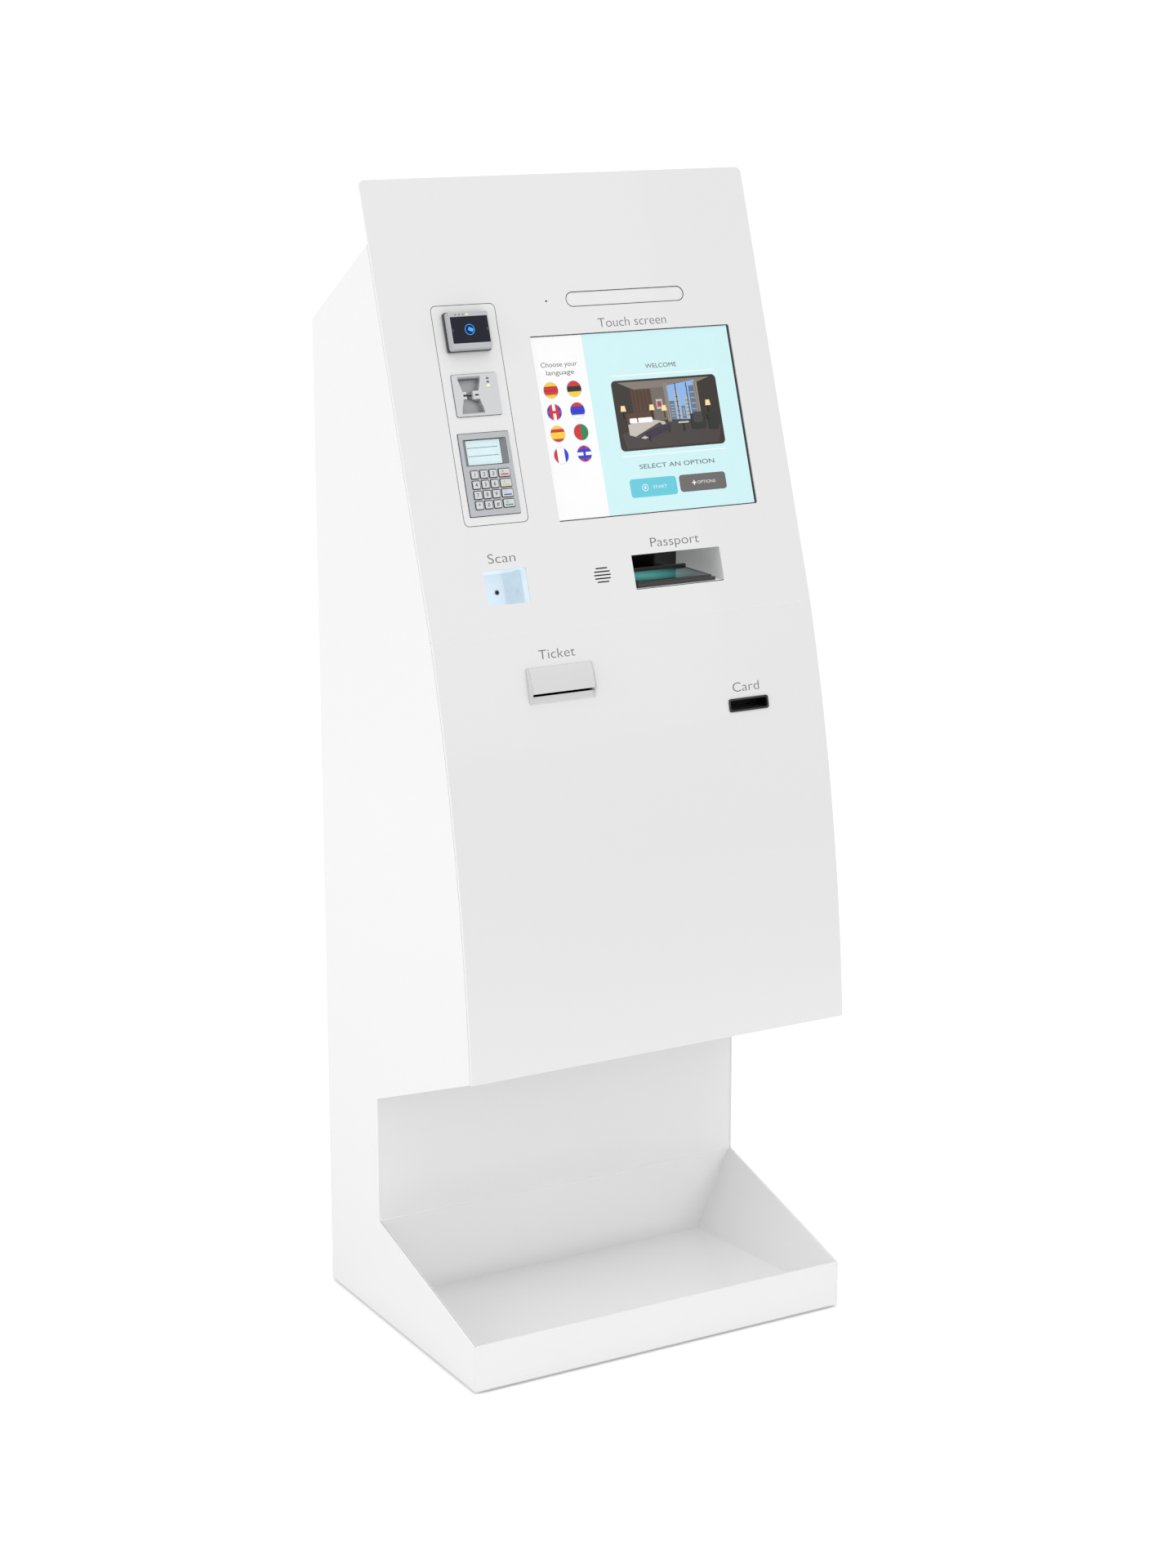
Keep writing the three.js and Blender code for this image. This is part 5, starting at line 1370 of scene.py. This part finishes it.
# Black ring in the gap round the window: painted shade.
window_gap_shade = shade_ring(window_low, window_high, (0.38 * MM, window_radius - 0.02 * MM),
                   (-0.55 * MM, window_radius - 0.95 * MM), -0.68 * MM, -0.12 * MM, 0.1 * MM, 14)
keep("window_gap_shade", window_gap_shade, cloth_and_shade_black)

# %% [markdown]
# The code reader looks out of a square well. Its walls glow a cold white: painted light, as no lamp is
# behind them. The far right corner is a curved reflector with a glow of its own, also painted light:
# an upright line spun through a quarter turn, given a thickness, and stretched out towards the sheet.
# The reader's lens is a dark glass in a small round hole in the back wall.

# %% Code well
hood_back = span("code_hood")[0].z
WELL_LENS = (-177 * MM, 66 * MM, 2.8 * MM)
REFLECTOR_RADIUS = 13 * MM
REFLECTOR_STRETCH = 2.3     # it runs further out towards the sheet than across the well


def code_well():
    outer = around(well_low, well_high, HOOD_WALL, 1.5 * MM)
    inner = around(well_low, well_high, 0, 1 * MM)
    walls = slab([outer, inner], hood_back + HOOD_WALL, -SHEET - 0.3 * MM)
    back = slab([outer, disc(*WELL_LENS)], hood_back, hood_back + HOOD_WALL)
    return merged(walls, back)


def reflector():
    """The curved corner of the well, rolled about an upright axis."""
    bm = bmesh.new()
    x, z = well_high.x - 0.8 * MM - REFLECTOR_RADIUS, hood_back + HOOD_WALL + 0.8 * MM
    line = [bm.verts.new((x, y, z)) for y in (well_low.y + 0.6 * MM, well_high.y - 0.6 * MM)]
    edge = bm.edges.new(line)
    bmesh.ops.spin(bm, geom=[*line, edge], cent=(x, 0, z + REFLECTOR_RADIUS), axis=(0, 1, 0),
                   angle=-math.pi / 2, steps=16, use_duplicate=False)
    bmesh.ops.recalc_face_normals(bm, faces=bm.faces)
    bmesh.ops.solidify(bm, geom=bm.faces, thickness=0.5 * MM)
    seat = Matrix.Translation((0, 0, z))
    stretch = seat @ Matrix.Diagonal((1, 1, REFLECTOR_STRETCH, 1)) @ seat.inverted()
    bmesh.ops.transform(bm, matrix=stretch, verts=bm.verts)
    return bm


keep("code_well", code_well(), well_painted_light, replaces=["code_hood"])
# The reflector's glow is painted light.
reflector_painted_light = finish("reflector_painted_light", (0.52, 0.60, 0.66), (0.70, 0.78, 0.83), roughness=0.12,
                         marks=0.1, grain=400, depth=0.003, coat=0.4, cloud=40, glow=0.22)
keep("code_reflector", reflector(), reflector_painted_light)
lens_x, lens_y, lens_radius = WELL_LENS
well_back = hood_back + HOOD_WALL
lens_ring = slab([disc(lens_x, lens_y, lens_radius + 1.0 * MM), disc(lens_x, lens_y, lens_radius - 0.3 * MM)],
                 well_back, well_back + 0.5 * MM, 0.15 * MM)
lens_glass = slab([disc(*WELL_LENS)], hood_back + 1.2 * MM, well_back + 0.2 * MM, 0.1 * MM)
keep("code_lens", merged((lens_ring, 0), (lens_glass, 1)), [device_grey, reader_black])

# %% [markdown]
# The passport slot runs level into the cabinet. Its far wall is black, which is painted shade; its side
# walls are grey and its floor pale, both with a painted glow that stands for light in the slot. The reader's
# bed stands up from it, a black frame round a lit pane.
# All its places come from the hood's box and the reader's box.

# %% Passport slot
# Both finishes glow a little: painted light in the slot, which no lamp lights.
slot_grey_painted_light = finish("slot_grey_painted_light", grey(0.56), grey(0.60), roughness=0.42, grain=900, depth=0.006, glow=0.22)
floor_painted_light = finish("slot_floor", grey(0.62), grey(0.68), roughness=0.35, grain=900, depth=0.004, glow=0.30)
dress(["passport_hood"], slot_grey_painted_light, 0.2 * MM)
dress(["passport_reader"], gloss_black, 0.5 * MM)

bed_low, bed_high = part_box("passport_reader")
slot_floor = bed_high[2] - 9 * MM      # the reader's body ends this far below the top of its bed
bed_left, bed_right = bed_low[0] + 10 * MM, bed_high[0] - 18 * MM
slot_front = hood_low[1]
bed_front = slot_front + 4.5 * MM
bed_rear = bed_front + 79 * MM
wall_face = hood_high[1] - HOOD_WALL
print("passport slot from y", round(slot_front, 4), "to", round(wall_face, 4))

# %% [markdown]
# The pane is dark teal glass, lit from below and brightest at its left. The glow is a ball-shaped
# gradient. Its Mapping node sets the ball's middle and its reach on the pane, in metres.

# %% Glow of the reader's bed
GLOW_MIDDLE = (bed_left + 34 * MM, bed_front + 44 * MM, slot_floor)
GLOW_REACH = (85 * MM, 50 * MM, 50 * MM)
GLOW_DARK, GLOW_BRIGHT = (0.0, 0.012, 0.014, 1), (0.10, 0.42, 0.38, 1)


def glow_finish():
    """Dark teal glass with a soft ball of light under it."""
    material = finish("bed_glow", (0.004, 0.02, 0.02), (0.006, 0.03, 0.03), roughness=0.06, marks=0.03,
                      grain=300, depth=0.001, coat=0.5)
    tree = material.node_tree
    place = add(tree, "ShaderNodeTexCoord")
    mapping = add(tree, "ShaderNodeMapping", vector_type="TEXTURE")
    mapping.inputs["Location"].default_value = GLOW_MIDDLE
    mapping.inputs["Scale"].default_value = GLOW_REACH
    ball = add(tree, "ShaderNodeTexGradient", gradient_type="SPHERICAL")
    tint = add(tree, "ShaderNodeMix", data_type="RGBA")
    tint.inputs["A"].default_value = GLOW_DARK
    tint.inputs["B"].default_value = GLOW_BRIGHT
    tree.links.new(place.outputs["Object"], mapping.inputs["Vector"])
    tree.links.new(mapping.outputs["Vector"], ball.inputs["Vector"])
    tree.links.new(ball.outputs["Fac"], tint.inputs["Factor"])
    shader = tree.nodes["Principled BSDF"]
    tree.links.new(tint.outputs["Result"], shader.inputs["Emission Color"])
    shader.inputs["Emission Strength"].default_value = 1.0
    return material


# %% [markdown]
# The slot's own parts are plain sheets and bars: a pale floor with a painted glow in front of the bed and
# beside it, a black wall at the back that is painted shade, and a bar behind and in front of the pane that
# guide a passport.

# %% Parts of the passport slot
PANE_INSET = 5.3 * MM
STRIP_RIM = 0.08 * MM
BAR_RIM = 0.8 * MM
floor_top = slot_floor + 0.3 * MM
bed_pane = soft_block((bed_left + PANE_INSET, bed_front + PANE_INSET, bed_high[2] - 1.4 * MM),
                      (bed_right - PANE_INSET, bed_rear - PANE_INSET, bed_high[2] - 0.4 * MM), 0.2 * MM)
keep("bed_pane", bed_pane, glow_finish(), axes=CABINET)
front_strip = soft_block((slot_left + 0.2 * MM, bed_front - 3.5 * MM, slot_floor),
                         (slot_right - 0.2 * MM, bed_front - 0.4 * MM, floor_top), STRIP_RIM)
side_strip = soft_block((bed_right + 0.4 * MM, bed_front - 0.2 * MM, slot_floor),
                        (slot_right - 0.2 * MM, wall_face - 1.5 * MM, floor_top), STRIP_RIM)
keep("slot_floor", merged(front_strip, side_strip), floor_painted_light, axes=CABINET)
# The rear wall is black to stand for the shade deep in the slot: painted shade.
rear_wall = soft_block((slot_left + 0.1 * MM, wall_face - 1.2 * MM, floor_top),
                       (slot_right - 0.1 * MM, wall_face - 0.1 * MM, hood_high[2] - HOOD_WALL - 0.1 * MM),
                       0.2 * MM)
keep("slot_rear_painted_shade", rear_wall, gloss_black, axes=CABINET)
rear_bar = soft_block((bed_left, bed_rear + 1 * MM, slot_floor),
                      (bed_right + 4 * MM, bed_rear + 7 * MM, bed_high[2] + 3 * MM), BAR_RIM)
front_lip = soft_block((bed_left - 1 * MM, bed_front - 0.3 * MM, slot_floor),
                       (bed_right + 6 * MM, bed_front + 5 * MM, bed_high[2] - 3.5 * MM), BAR_RIM)
keep("bed_bars", merged(rear_bar, front_lip), graphite, axes=CABINET)

# %% [markdown]
# The ticket outlet is a white cowl. Seen from the side it is a quarter of an ellipse that bulges
# from the sheet and ends above the slot, and its two cheeks run on below the slot to a point. Its
# outline is drawn once, then drawn out across the kiosk.

# %% Ticket outlet
ALONG = Matrix(((0, 0, 1, 0), (1, 0, 0, 0), (0, 1, 0, 0), (0, 0, 0, 1)))    # turns a side view across
COWL_PROUD = ticket_high.z
COWL_HALF = (ticket_high.x - ticket_low.x) / 2
COWL_RISE = (ticket_high.y - ticket_low.y) / 2
CHEEK = 3 * MM
SLOT_TOP, SLOT_BOTTOM = -12 * MM, -15.5 * MM
STAND_OFF = 0.35 * MM


def cowl_arc(steps=24):
    """The quarter ellipse, from the top edge on the sheet out to the slot."""
    points = []
    for i in range(steps + 1):
        turn = math.pi / 2 * i / steps
        rise = SLOT_TOP + (COWL_RISE - SLOT_TOP) * math.cos(turn)
        points.append((rise, STAND_OFF + (COWL_PROUD - STAND_OFF) * math.sin(turn)))
    return points


def drawn_across(outline, x0, x1, rim=0.3 * MM):
    """A side view drawn out across the kiosk from x0 to x1."""
    bm = slab([outline], x0, x1, rim)
    bmesh.ops.transform(bm, matrix=ALONG, verts=bm.verts)
    return bm


def ticket_cowl():
    tip = (-COWL_RISE, STAND_OFF)
    cowl_reach = COWL_HALF - CHEEK / 2
    cowl = drawn_across(cowl_arc() + [(SLOT_TOP, STAND_OFF)], -cowl_reach, cowl_reach)
    cheeks = [drawn_across(cowl_arc() + [tip], *sides, 0.35 * MM)
              for sides in ((-COWL_HALF, CHEEK - COWL_HALF), (COWL_HALF - CHEEK, COWL_HALF))]
    chin = drawn_across([(SLOT_BOTTOM, STAND_OFF), (SLOT_BOTTOM, 2.8 * MM), tip], CHEEK - COWL_HALF,
                        COWL_HALF - CHEEK, 0.1 * MM)
    return merged(cowl, *cheeks, chin)


# The cowl is white, but its finish is a grey of 0.70 to 0.76: painted shade over the whole cowl. Its lighter
# edges are a painted highlight.
cowl_painted_shade = finish("cowl_painted_shade", grey(0.70), grey(0.76), roughness=0.3, grain=1200, depth=0.006, coat=0.2,
                    edge_wear_and_highlight=grey(0.90), edge_wear_and_highlight_amount=0.7)
keep("ticket_cowl", ticket_cowl(), cowl_painted_shade, axes=TICKET, smooth=25, replaces=["ticket_bezel"])
THROAT_DEPTH = 11 * MM
throat_edge = rounded(-49.5 * MM, 49.5 * MM, -20 * MM, 20 * MM, 1 * MM)
throat = slab([throat_edge, rounded(-46 * MM, 46 * MM, SLOT_BOTTOM, SLOT_TOP, 0.5 * MM)],
              -THROAT_DEPTH, 0.2 * MM, 0.1 * MM)
throat_back = slab([throat_edge], -THROAT_DEPTH - 1 * MM, -THROAT_DEPTH, 0.1 * MM)
keep("ticket_throat", merged(throat, throat_back), gloss_black, axes=TICKET)

# %% [markdown]
# The card outlet is a gloss black moulding with round corners and a soft rim. Deep inside, a dark
# curtain with a long slit closes it, a black sheet that stands for the shade inside the mouth: painted shade.
# A sill along its lower wall, in the same black, keeps a card level.

# %% Card outlet
CARD_CORNER = 4 * MM
CARD_RIM = 3 * MM
CARD_SLIT_INSET = 5 * MM
card_half_x, card_half_y = (card_high.x - card_low.x) / 2, (card_high.y - card_low.y) / 2
card_outer = rounded(-card_half_x, card_half_x, -card_half_y, card_half_y, CARD_CORNER, 10)


def card_inner(shrink):
    reach_x, reach_y = card_half_x - shrink, card_half_y - shrink
    return rounded(-reach_x, reach_x, -reach_y, reach_y, CARD_CORNER - 1.2 * MM, 10)


card_ring = slab([card_outer, card_inner(CARD_RIM)], STAND_OFF, card_high.z, 0.55 * MM, 3)
card_sleeve = slab([card_inner(1.6 * MM), card_inner(CARD_RIM)], card_low.z, STAND_OFF + 0.1 * MM)
slit_reach, slit_half = card_half_x - CARD_SLIT_INSET, 1.0 * MM
card_slit = rounded(-slit_reach, slit_reach, -slit_half, slit_half, 0.5 * MM)
# The curtain's black is painted shade for the inside of the mouth.
card_shade_curtain = slab([card_inner(CARD_RIM - 0.4 * MM), card_slit],
                    card_low.z + 0.4 * MM, card_low.z + 1.4 * MM)
sill_reach, sill_foot = card_half_x - CARD_RIM - 1 * MM, CARD_RIM - card_half_y
card_sill = soft_block((-sill_reach, sill_foot + 0.1 * MM, card_low.z),
                       (sill_reach, sill_foot + 2.6 * MM, -9 * MM), 0.5 * MM)
keep("card_mouth", merged((card_ring, 0), (card_sleeve, 0), (card_sill, 1), (card_shade_curtain, 1)),
     [gloss_black, cloth_and_shade_black], axes=CARD, replaces=["card_bezel"])

# %% [markdown]
# Each opening is named in thin grey print. The words are the built-in lettering made thinner, laid
# almost flush on the sheet. On the bowed sheet each word gets a frame of its own.

# %% Printed names
LABEL_THIN = 0.012
LABEL_HEIGHT = 13.2 * MM
LABEL_LEVEL = 0.03 * MM
LABELS = (                  # piece, word, width, middle across and foot up, and its frame
    ("label_screen", "Touch screen", 115 * MM, 88.5 * MM, 430.5 * MM, FLAT),
    ("label_passport", "Passport", 83 * MM, 100.5 * MM, 103 * MM, FLAT),
    ("label_code", "Scan", 44 * MM, -187.5 * MM, 102.5 * MM, FLAT),
    ("label_ticket", "Ticket", 59.5 * MM, 0, 0, bow_frame(41 * MM, -122.3 * MM)),
    ("label_card", "Card", 45.5 * MM, 0, 0, bow_frame(122.5 * MM, 185.8 * MM)),
)
for name, word, width, x, y, axes in LABELS:
    label = words(word, x, y, LABEL_HEIGHT, LABEL_LEVEL, width, True, LABEL_THIN)
    keep(name, label, ink, axes=axes)

# %% [markdown]
# The back is where the kiosk is serviced. Each vent gets a shallow pressed hood, the lock a round
# plate, and the door a foam seal inside its rim. They ride on the door, so they open with it.

# %% Door fittings
door_low, door_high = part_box("rear_door")
lock_low, lock_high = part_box("door_lock")
frame_low, frame_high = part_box("rear_frame")
door_face = door_high[1]
VENT_LENGTH, VENT_HEIGHT, VENT_PITCH, VENT_COUNT = 170 * MM, 5 * MM, 14 * MM, 8
VENT_MARGIN = 70 * MM
DOOR_SKIN = 2 * MM

# Axes for someone who stands behind the kiosk: x to their right, y up and z towards them.
FROM_BEHIND = Matrix(((-1, 0, 0, 0), (0, 0, 1, 0), (0, 1, 0, 0), (0, 0, 0, 1)))


def vent_hood(z):
    """A shallow louvre over a slot: a round-ended bar, cut open below and hollow."""
    reach = VENT_LENGTH / 2 + 1.5 * MM
    bm = slab([rounded(-reach, reach, z - 1.0 * MM, z + VENT_HEIGHT / 2 + 2.2 * MM, 2.4 * MM, 4)],
              door_face - 0.2 * MM, door_face + 1.7 * MM, 0.7 * MM)
    under = [f for f in bm.faces if f.normal.y < -0.9]
    bmesh.ops.inset_region(bm, faces=under, thickness=0.25 * MM, depth=-0.6 * MM)
    return bm


vent_starts = (door_low[2] + VENT_MARGIN, door_high[2] - VENT_MARGIN - VENT_COUNT * VENT_PITCH)
hoods = [vent_hood(start + i * VENT_PITCH) for start in vent_starts for i in range(VENT_COUNT)]
keep("door_louvres", merged(*hoods), white_coat, body="rear_door", axes=FROM_BEHIND)

LOCK_RADIUS = 9 * MM
lock_x, lock_z = (lock_low[0] + lock_high[0]) / 2, lock_low[2] + LOCK_RADIUS
plate_rings = [disc(-lock_x, lock_z, LOCK_RADIUS + grow, 48) for grow in (4.5 * MM, 0.4 * MM)]
lock_plate = slab(plate_rings, door_face + 0.05 * MM, door_face + 1.3 * MM, 0.5 * MM)
keep("lock_plate", lock_plate, steel, body="rear_door", axes=FROM_BEHIND)

HINGE_SIDE = 5 * MM         # the seal stays this much further in beside the hinge


def seal_edge(inset):
    """The seal's outline, this far in from the door's rim."""
    return rounded(-door_high[0] + HINGE_SIDE + inset, -door_low[0] - inset,
                   door_low[2] + inset, door_high[2] - inset, 2 * MM, 3)


door_seal = slab([seal_edge(3 * MM), seal_edge(9 * MM)], door_low[1] + 0.3 * MM,
                 door_face - DOOR_SKIN - 0.1 * MM, 1.2 * MM, 2)
keep("door_seal", door_seal, rubber, body="rear_door", axes=FROM_BEHIND)

# %% [markdown]
# Pan-head screws hold the rear frame and the top cover. A head is a low dome: a quarter arc spun
# right round, with a cross cut into it by pushing in every fourth face of its crown.

# %% Screws
SCREW_RADIUS = 3.4 * MM
SCREW_RISE = 1.5 * MM


def screw_head(place, turn=Matrix.Identity(4)):
    """A domed head with a cross cut into it, facing along the turned Z axis."""
    bm = bmesh.new()
    steps = 5
    turns = [math.pi / 2 * i / steps for i in range(steps + 1)]
    arc = [bm.verts.new((SCREW_RADIUS * math.cos(a), 0, SCREW_RISE * math.sin(a))) for a in turns]
    foot = bm.verts.new((SCREW_RADIUS, 0, -0.2 * MM))
    line = [foot, *arc]
    edges = [bm.edges.new(pair) for pair in zip(line, line[1:])]
    bmesh.ops.spin(bm, geom=line + edges, cent=(0, 0, 0), axis=(0, 0, 1), angle=2 * math.pi, steps=16,
                   use_merge=True, use_duplicate=False)
    bmesh.ops.remove_doubles(bm, verts=bm.verts, dist=1e-5)
    bmesh.ops.holes_fill(bm, edges=[e for e in bm.edges if e.is_boundary], sides=0)
    crown = [f for f in bm.faces if f.calc_center_median().z > SCREW_RISE * 0.9 and
             f.calc_center_median().to_2d().length < SCREW_RADIUS * 0.5]
    for i, face in enumerate(sorted(crown, key=lambda f: math.atan2(*f.calc_center_median().to_2d()))):
        if i % 4 == 0:
            moved = bmesh.ops.extrude_discrete_faces(bm, faces=[face])["faces"]
            bmesh.ops.translate(bm, verts=list({v for f in moved for v in f.verts}), vec=(0, 0, -0.7 * MM))
    bmesh.ops.transform(bm, matrix=Matrix.Translation(place) @ turn, verts=bm.verts)
    return bm


TO_BACK = Matrix.Rotation(-math.pi / 2, 4, "X")
SCREW_INSET = 22 * MM
SCREW_FIRST, SCREW_PITCH = 60 * MM, 345 * MM


def frame_screw(side, i):
    x, z = side * (frame_high[0] - SCREW_INSET), frame_low[2] + SCREW_FIRST + i * SCREW_PITCH
    return screw_head((x, frame_high[1], z), TO_BACK)


frame_screws = [frame_screw(side, i) for side in (-1, 1) for i in range(5)]
keep("frame_screws", merged(*frame_screws), steel, axes=CABINET, smooth=50)

cover_low, cover_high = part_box("top_cover")
cover_rise = math.atan2(cover_high[2] - frame_high[2], cover_high[1] - cover_low[1])
cover_lean = Matrix.Rotation(-cover_rise, 4, "X")


def cover_screws():
    """Three screws down each side of the sloping cover."""
    heads = []
    back_edge = frame_high[1] + 14.5 * MM
    back_top = cover_low[2] + 20 * MM
    for side in (-1, 1):
        for share in (0.12, 0.5, 0.88):
            y = back_edge + (cover_low[1] - back_edge) * share
            z = back_top + (cover_high[2] - back_top) * share
            heads.append(screw_head((side * (cover_high[0] - 14 * MM), y, z), cover_lean))
    return merged(*heads)


keep("cover_screws", cover_screws(), steel, axes=CABINET, smooth=50)

# %% [markdown]
# Behind the door the computer's fan has a wire guard: rings on four spokes. The mains inlet has
# its two flat pins beside the earth pin.

# %% Fan guard and inlet pins
fan_low, fan_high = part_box("cooling_fan")
case_low, case_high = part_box("computer_case")
fan_x, fan_z = (fan_low[0] + fan_high[0]) / 2, case_low[2] + 39 * MM
WIRE = 1.2 * MM
WIRE_ROUND = 0.4 * MM
RING_RADII = (38 * MM, 31 * MM, 24 * MM, 17 * MM, 10 * MM)


def fan_guard():
    back = case_high[1] + 0.1 * MM
    front = back + WIRE
    parts = []
    for radius in RING_RADII:
        rings = [disc(-fan_x, fan_z, radius, 48), disc(-fan_x, fan_z, radius - WIRE, 48)]
        parts.append(slab(rings, back, front, WIRE_ROUND))
    hub = Matrix.Translation((-fan_x, fan_z, 0))
    for quarter in range(4):
        spoke = slab([rounded(-WIRE / 2, WIRE / 2, 6 * MM, 44 * MM, 0.5 * MM, 3)],
                     back, front + WIRE / 2, WIRE_ROUND)
        turn = Matrix.Rotation(math.pi / 4 + quarter * math.pi / 2, 4, "Z")
        bmesh.ops.transform(spoke, matrix=hub @ turn, verts=spoke.verts)
        parts.append(spoke)
    return merged(*parts)


keep("fan_guard", fan_guard(), steel, axes=FROM_BEHIND)

supply_low, supply_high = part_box("power_supply")
INLET_RIGHT_OF_MIDDLE = 12 * MM
inlet_x = (supply_low[0] + supply_high[0]) / 2 + INLET_RIGHT_OF_MIDDLE
pin_z = (supply_low[2] + supply_high[2]) / 2 - 3 * MM
pin_front = supply_high[1] - 3 * MM
PIN_PITCH, PIN_LENGTH = 14 * MM, 13 * MM
PIN_HALF_WIDTH, PIN_HALF_HEIGHT = 2 * MM, 1 * MM


def inlet_pin(side):
    x = inlet_x + side * PIN_PITCH / 2
    return soft_block((x - PIN_HALF_WIDTH, pin_front - PIN_LENGTH, pin_z - PIN_HALF_HEIGHT),
                      (x + PIN_HALF_WIDTH, pin_front, pin_z + PIN_HALF_HEIGHT), 0.3 * MM)


pins = [inlet_pin(side) for side in (-1, 1)]
keep("inlet_pins", merged(*pins), steel, axes=CABINET)

# %% [markdown]
# A studio for a white object on a white floor: the floor has to run out to pure white while the
# kiosk's faces keep their greys. So the floor is a little brighter for the camera than for the
# light that it throws back: a Light Path node chooses between the two.

# %% Floor
FLOOR_REACH = 80.0          # from the middle to each edge, in metres
FLOOR_SEEN, FLOOR_BOUNCE = 0.95, 0.90
FLOOR_LIFT = 0.22           # lifts the floor the camera sees to the white of the backdrop


def floor_finish():
    """A white floor, seen a little brighter than the light it throws back on the kiosk."""
    material = bpy.data.materials.new("studio_white")
    material.use_nodes = True
    tree = material.node_tree
    tree.nodes.clear()
    seen = add(tree, "ShaderNodeBsdfDiffuse")
    seen.inputs["Color"].default_value = (*grey(FLOOR_SEEN), 1)
    lift = add(tree, "ShaderNodeEmission")
    lift.inputs["Strength"].default_value = FLOOR_LIFT
    lifted = add(tree, "ShaderNodeAddShader")
    bounced = add(tree, "ShaderNodeBsdfDiffuse")
    bounced.inputs["Color"].default_value = (*grey(FLOOR_BOUNCE), 1)
    path = add(tree, "ShaderNodeLightPath")
    choice = add(tree, "ShaderNodeMixShader")
    output = add(tree, "ShaderNodeOutputMaterial")
    tree.links.new(seen.outputs["BSDF"], lifted.inputs[0])
    tree.links.new(lift.outputs["Emission"], lifted.inputs[1])
    tree.links.new(path.outputs["Is Camera Ray"], choice.inputs["Fac"])
    tree.links.new(bounced.outputs["BSDF"], choice.inputs[1])
    tree.links.new(lifted.outputs["Shader"], choice.inputs[2])
    tree.links.new(choice.outputs["Shader"], output.inputs["Surface"])
    return material


floor_bm = bmesh.new()
bmesh.ops.create_grid(floor_bm, x_segments=2, y_segments=2, size=FLOOR_REACH)
floor_mesh = bpy.data.meshes.new("studio_floor")
floor_bm.to_mesh(floor_mesh)
floor_bm.free()
floor_mesh.materials.append(floor_finish())
floor = bpy.data.objects.new("studio_floor", floor_mesh)
scene.collection.objects.link(floor)
print("floor size:", 2 * FLOOR_REACH, "m")

# %% [markdown]
# An even sky lights everything a little. A wide sun from above lights the floor most, the leaning
# front less and upright faces least, so the front darkens as the bowed sheet turns upright. A large
# soft panel lifts the left side, one lifts the front and shows in its gloss, and a low narrow one
# reaches the tray. Two of them throw no highlight. The camera alone sees a white backdrop.

# %% Light
SKY = 0.70
SUN = 0.60
BACKDROP = 1.05            # what the camera sees past the floor


def add_light(name, kind, energy, place, towards, **settings):
    data = bpy.data.lights.new(name, kind)
    data.energy = energy
    for key, value in settings.items():
        setattr(data, key, value)
    light = bpy.data.objects.new(name, data)
    light.location = place
    light.rotation_euler = (Vector(towards) - Vector(place)).to_track_quat("-Z", "Y").to_euler()
    light.visible_camera = False
    scene.collection.objects.link(light)
    print(name, kind, energy)
    return light


world = bpy.data.worlds.new("studio")
world.use_nodes = True
sky = world.node_tree.nodes["Background"]
sky.inputs["Color"].default_value = WHITE
path = add(world.node_tree, "ShaderNodeLightPath")
strength = add(world.node_tree, "ShaderNodeMapRange")
strength.inputs["To Min"].default_value = SKY
strength.inputs["To Max"].default_value = BACKDROP
world.node_tree.links.new(path.outputs["Is Camera Ray"], strength.inputs["Value"])
world.node_tree.links.new(strength.outputs["Result"], sky.inputs["Strength"])
scene.world = world
scene.view_settings.view_transform = "Standard"
add_light("top_sun", "SUN", SUN, (0, -1.2, 5), (0, 0, 1.0), angle=math.radians(60))
left_panel = add_light("left_panel", "AREA", 62, (-4.5, 0.6, 2.4), (0, 0.1, 1.1), shape="RECTANGLE",
                       size=3.5, size_y=3.0)
left_panel.visible_glossy = False
add_light("front_panel", "AREA", 16, (1.0, -4.2, 3.6), (0, 0, 1.2), shape="RECTANGLE", size=3.6, size_y=4.2)
tray_panel = add_light("tray_panel", "AREA", 0.45, (0.7, -2.3, 0.3), (0, 0, 0.1), shape="RECTANGLE",
                       size=1.8, size_y=0.3, spread=math.radians(30))
tray_panel.visible_glossy = False
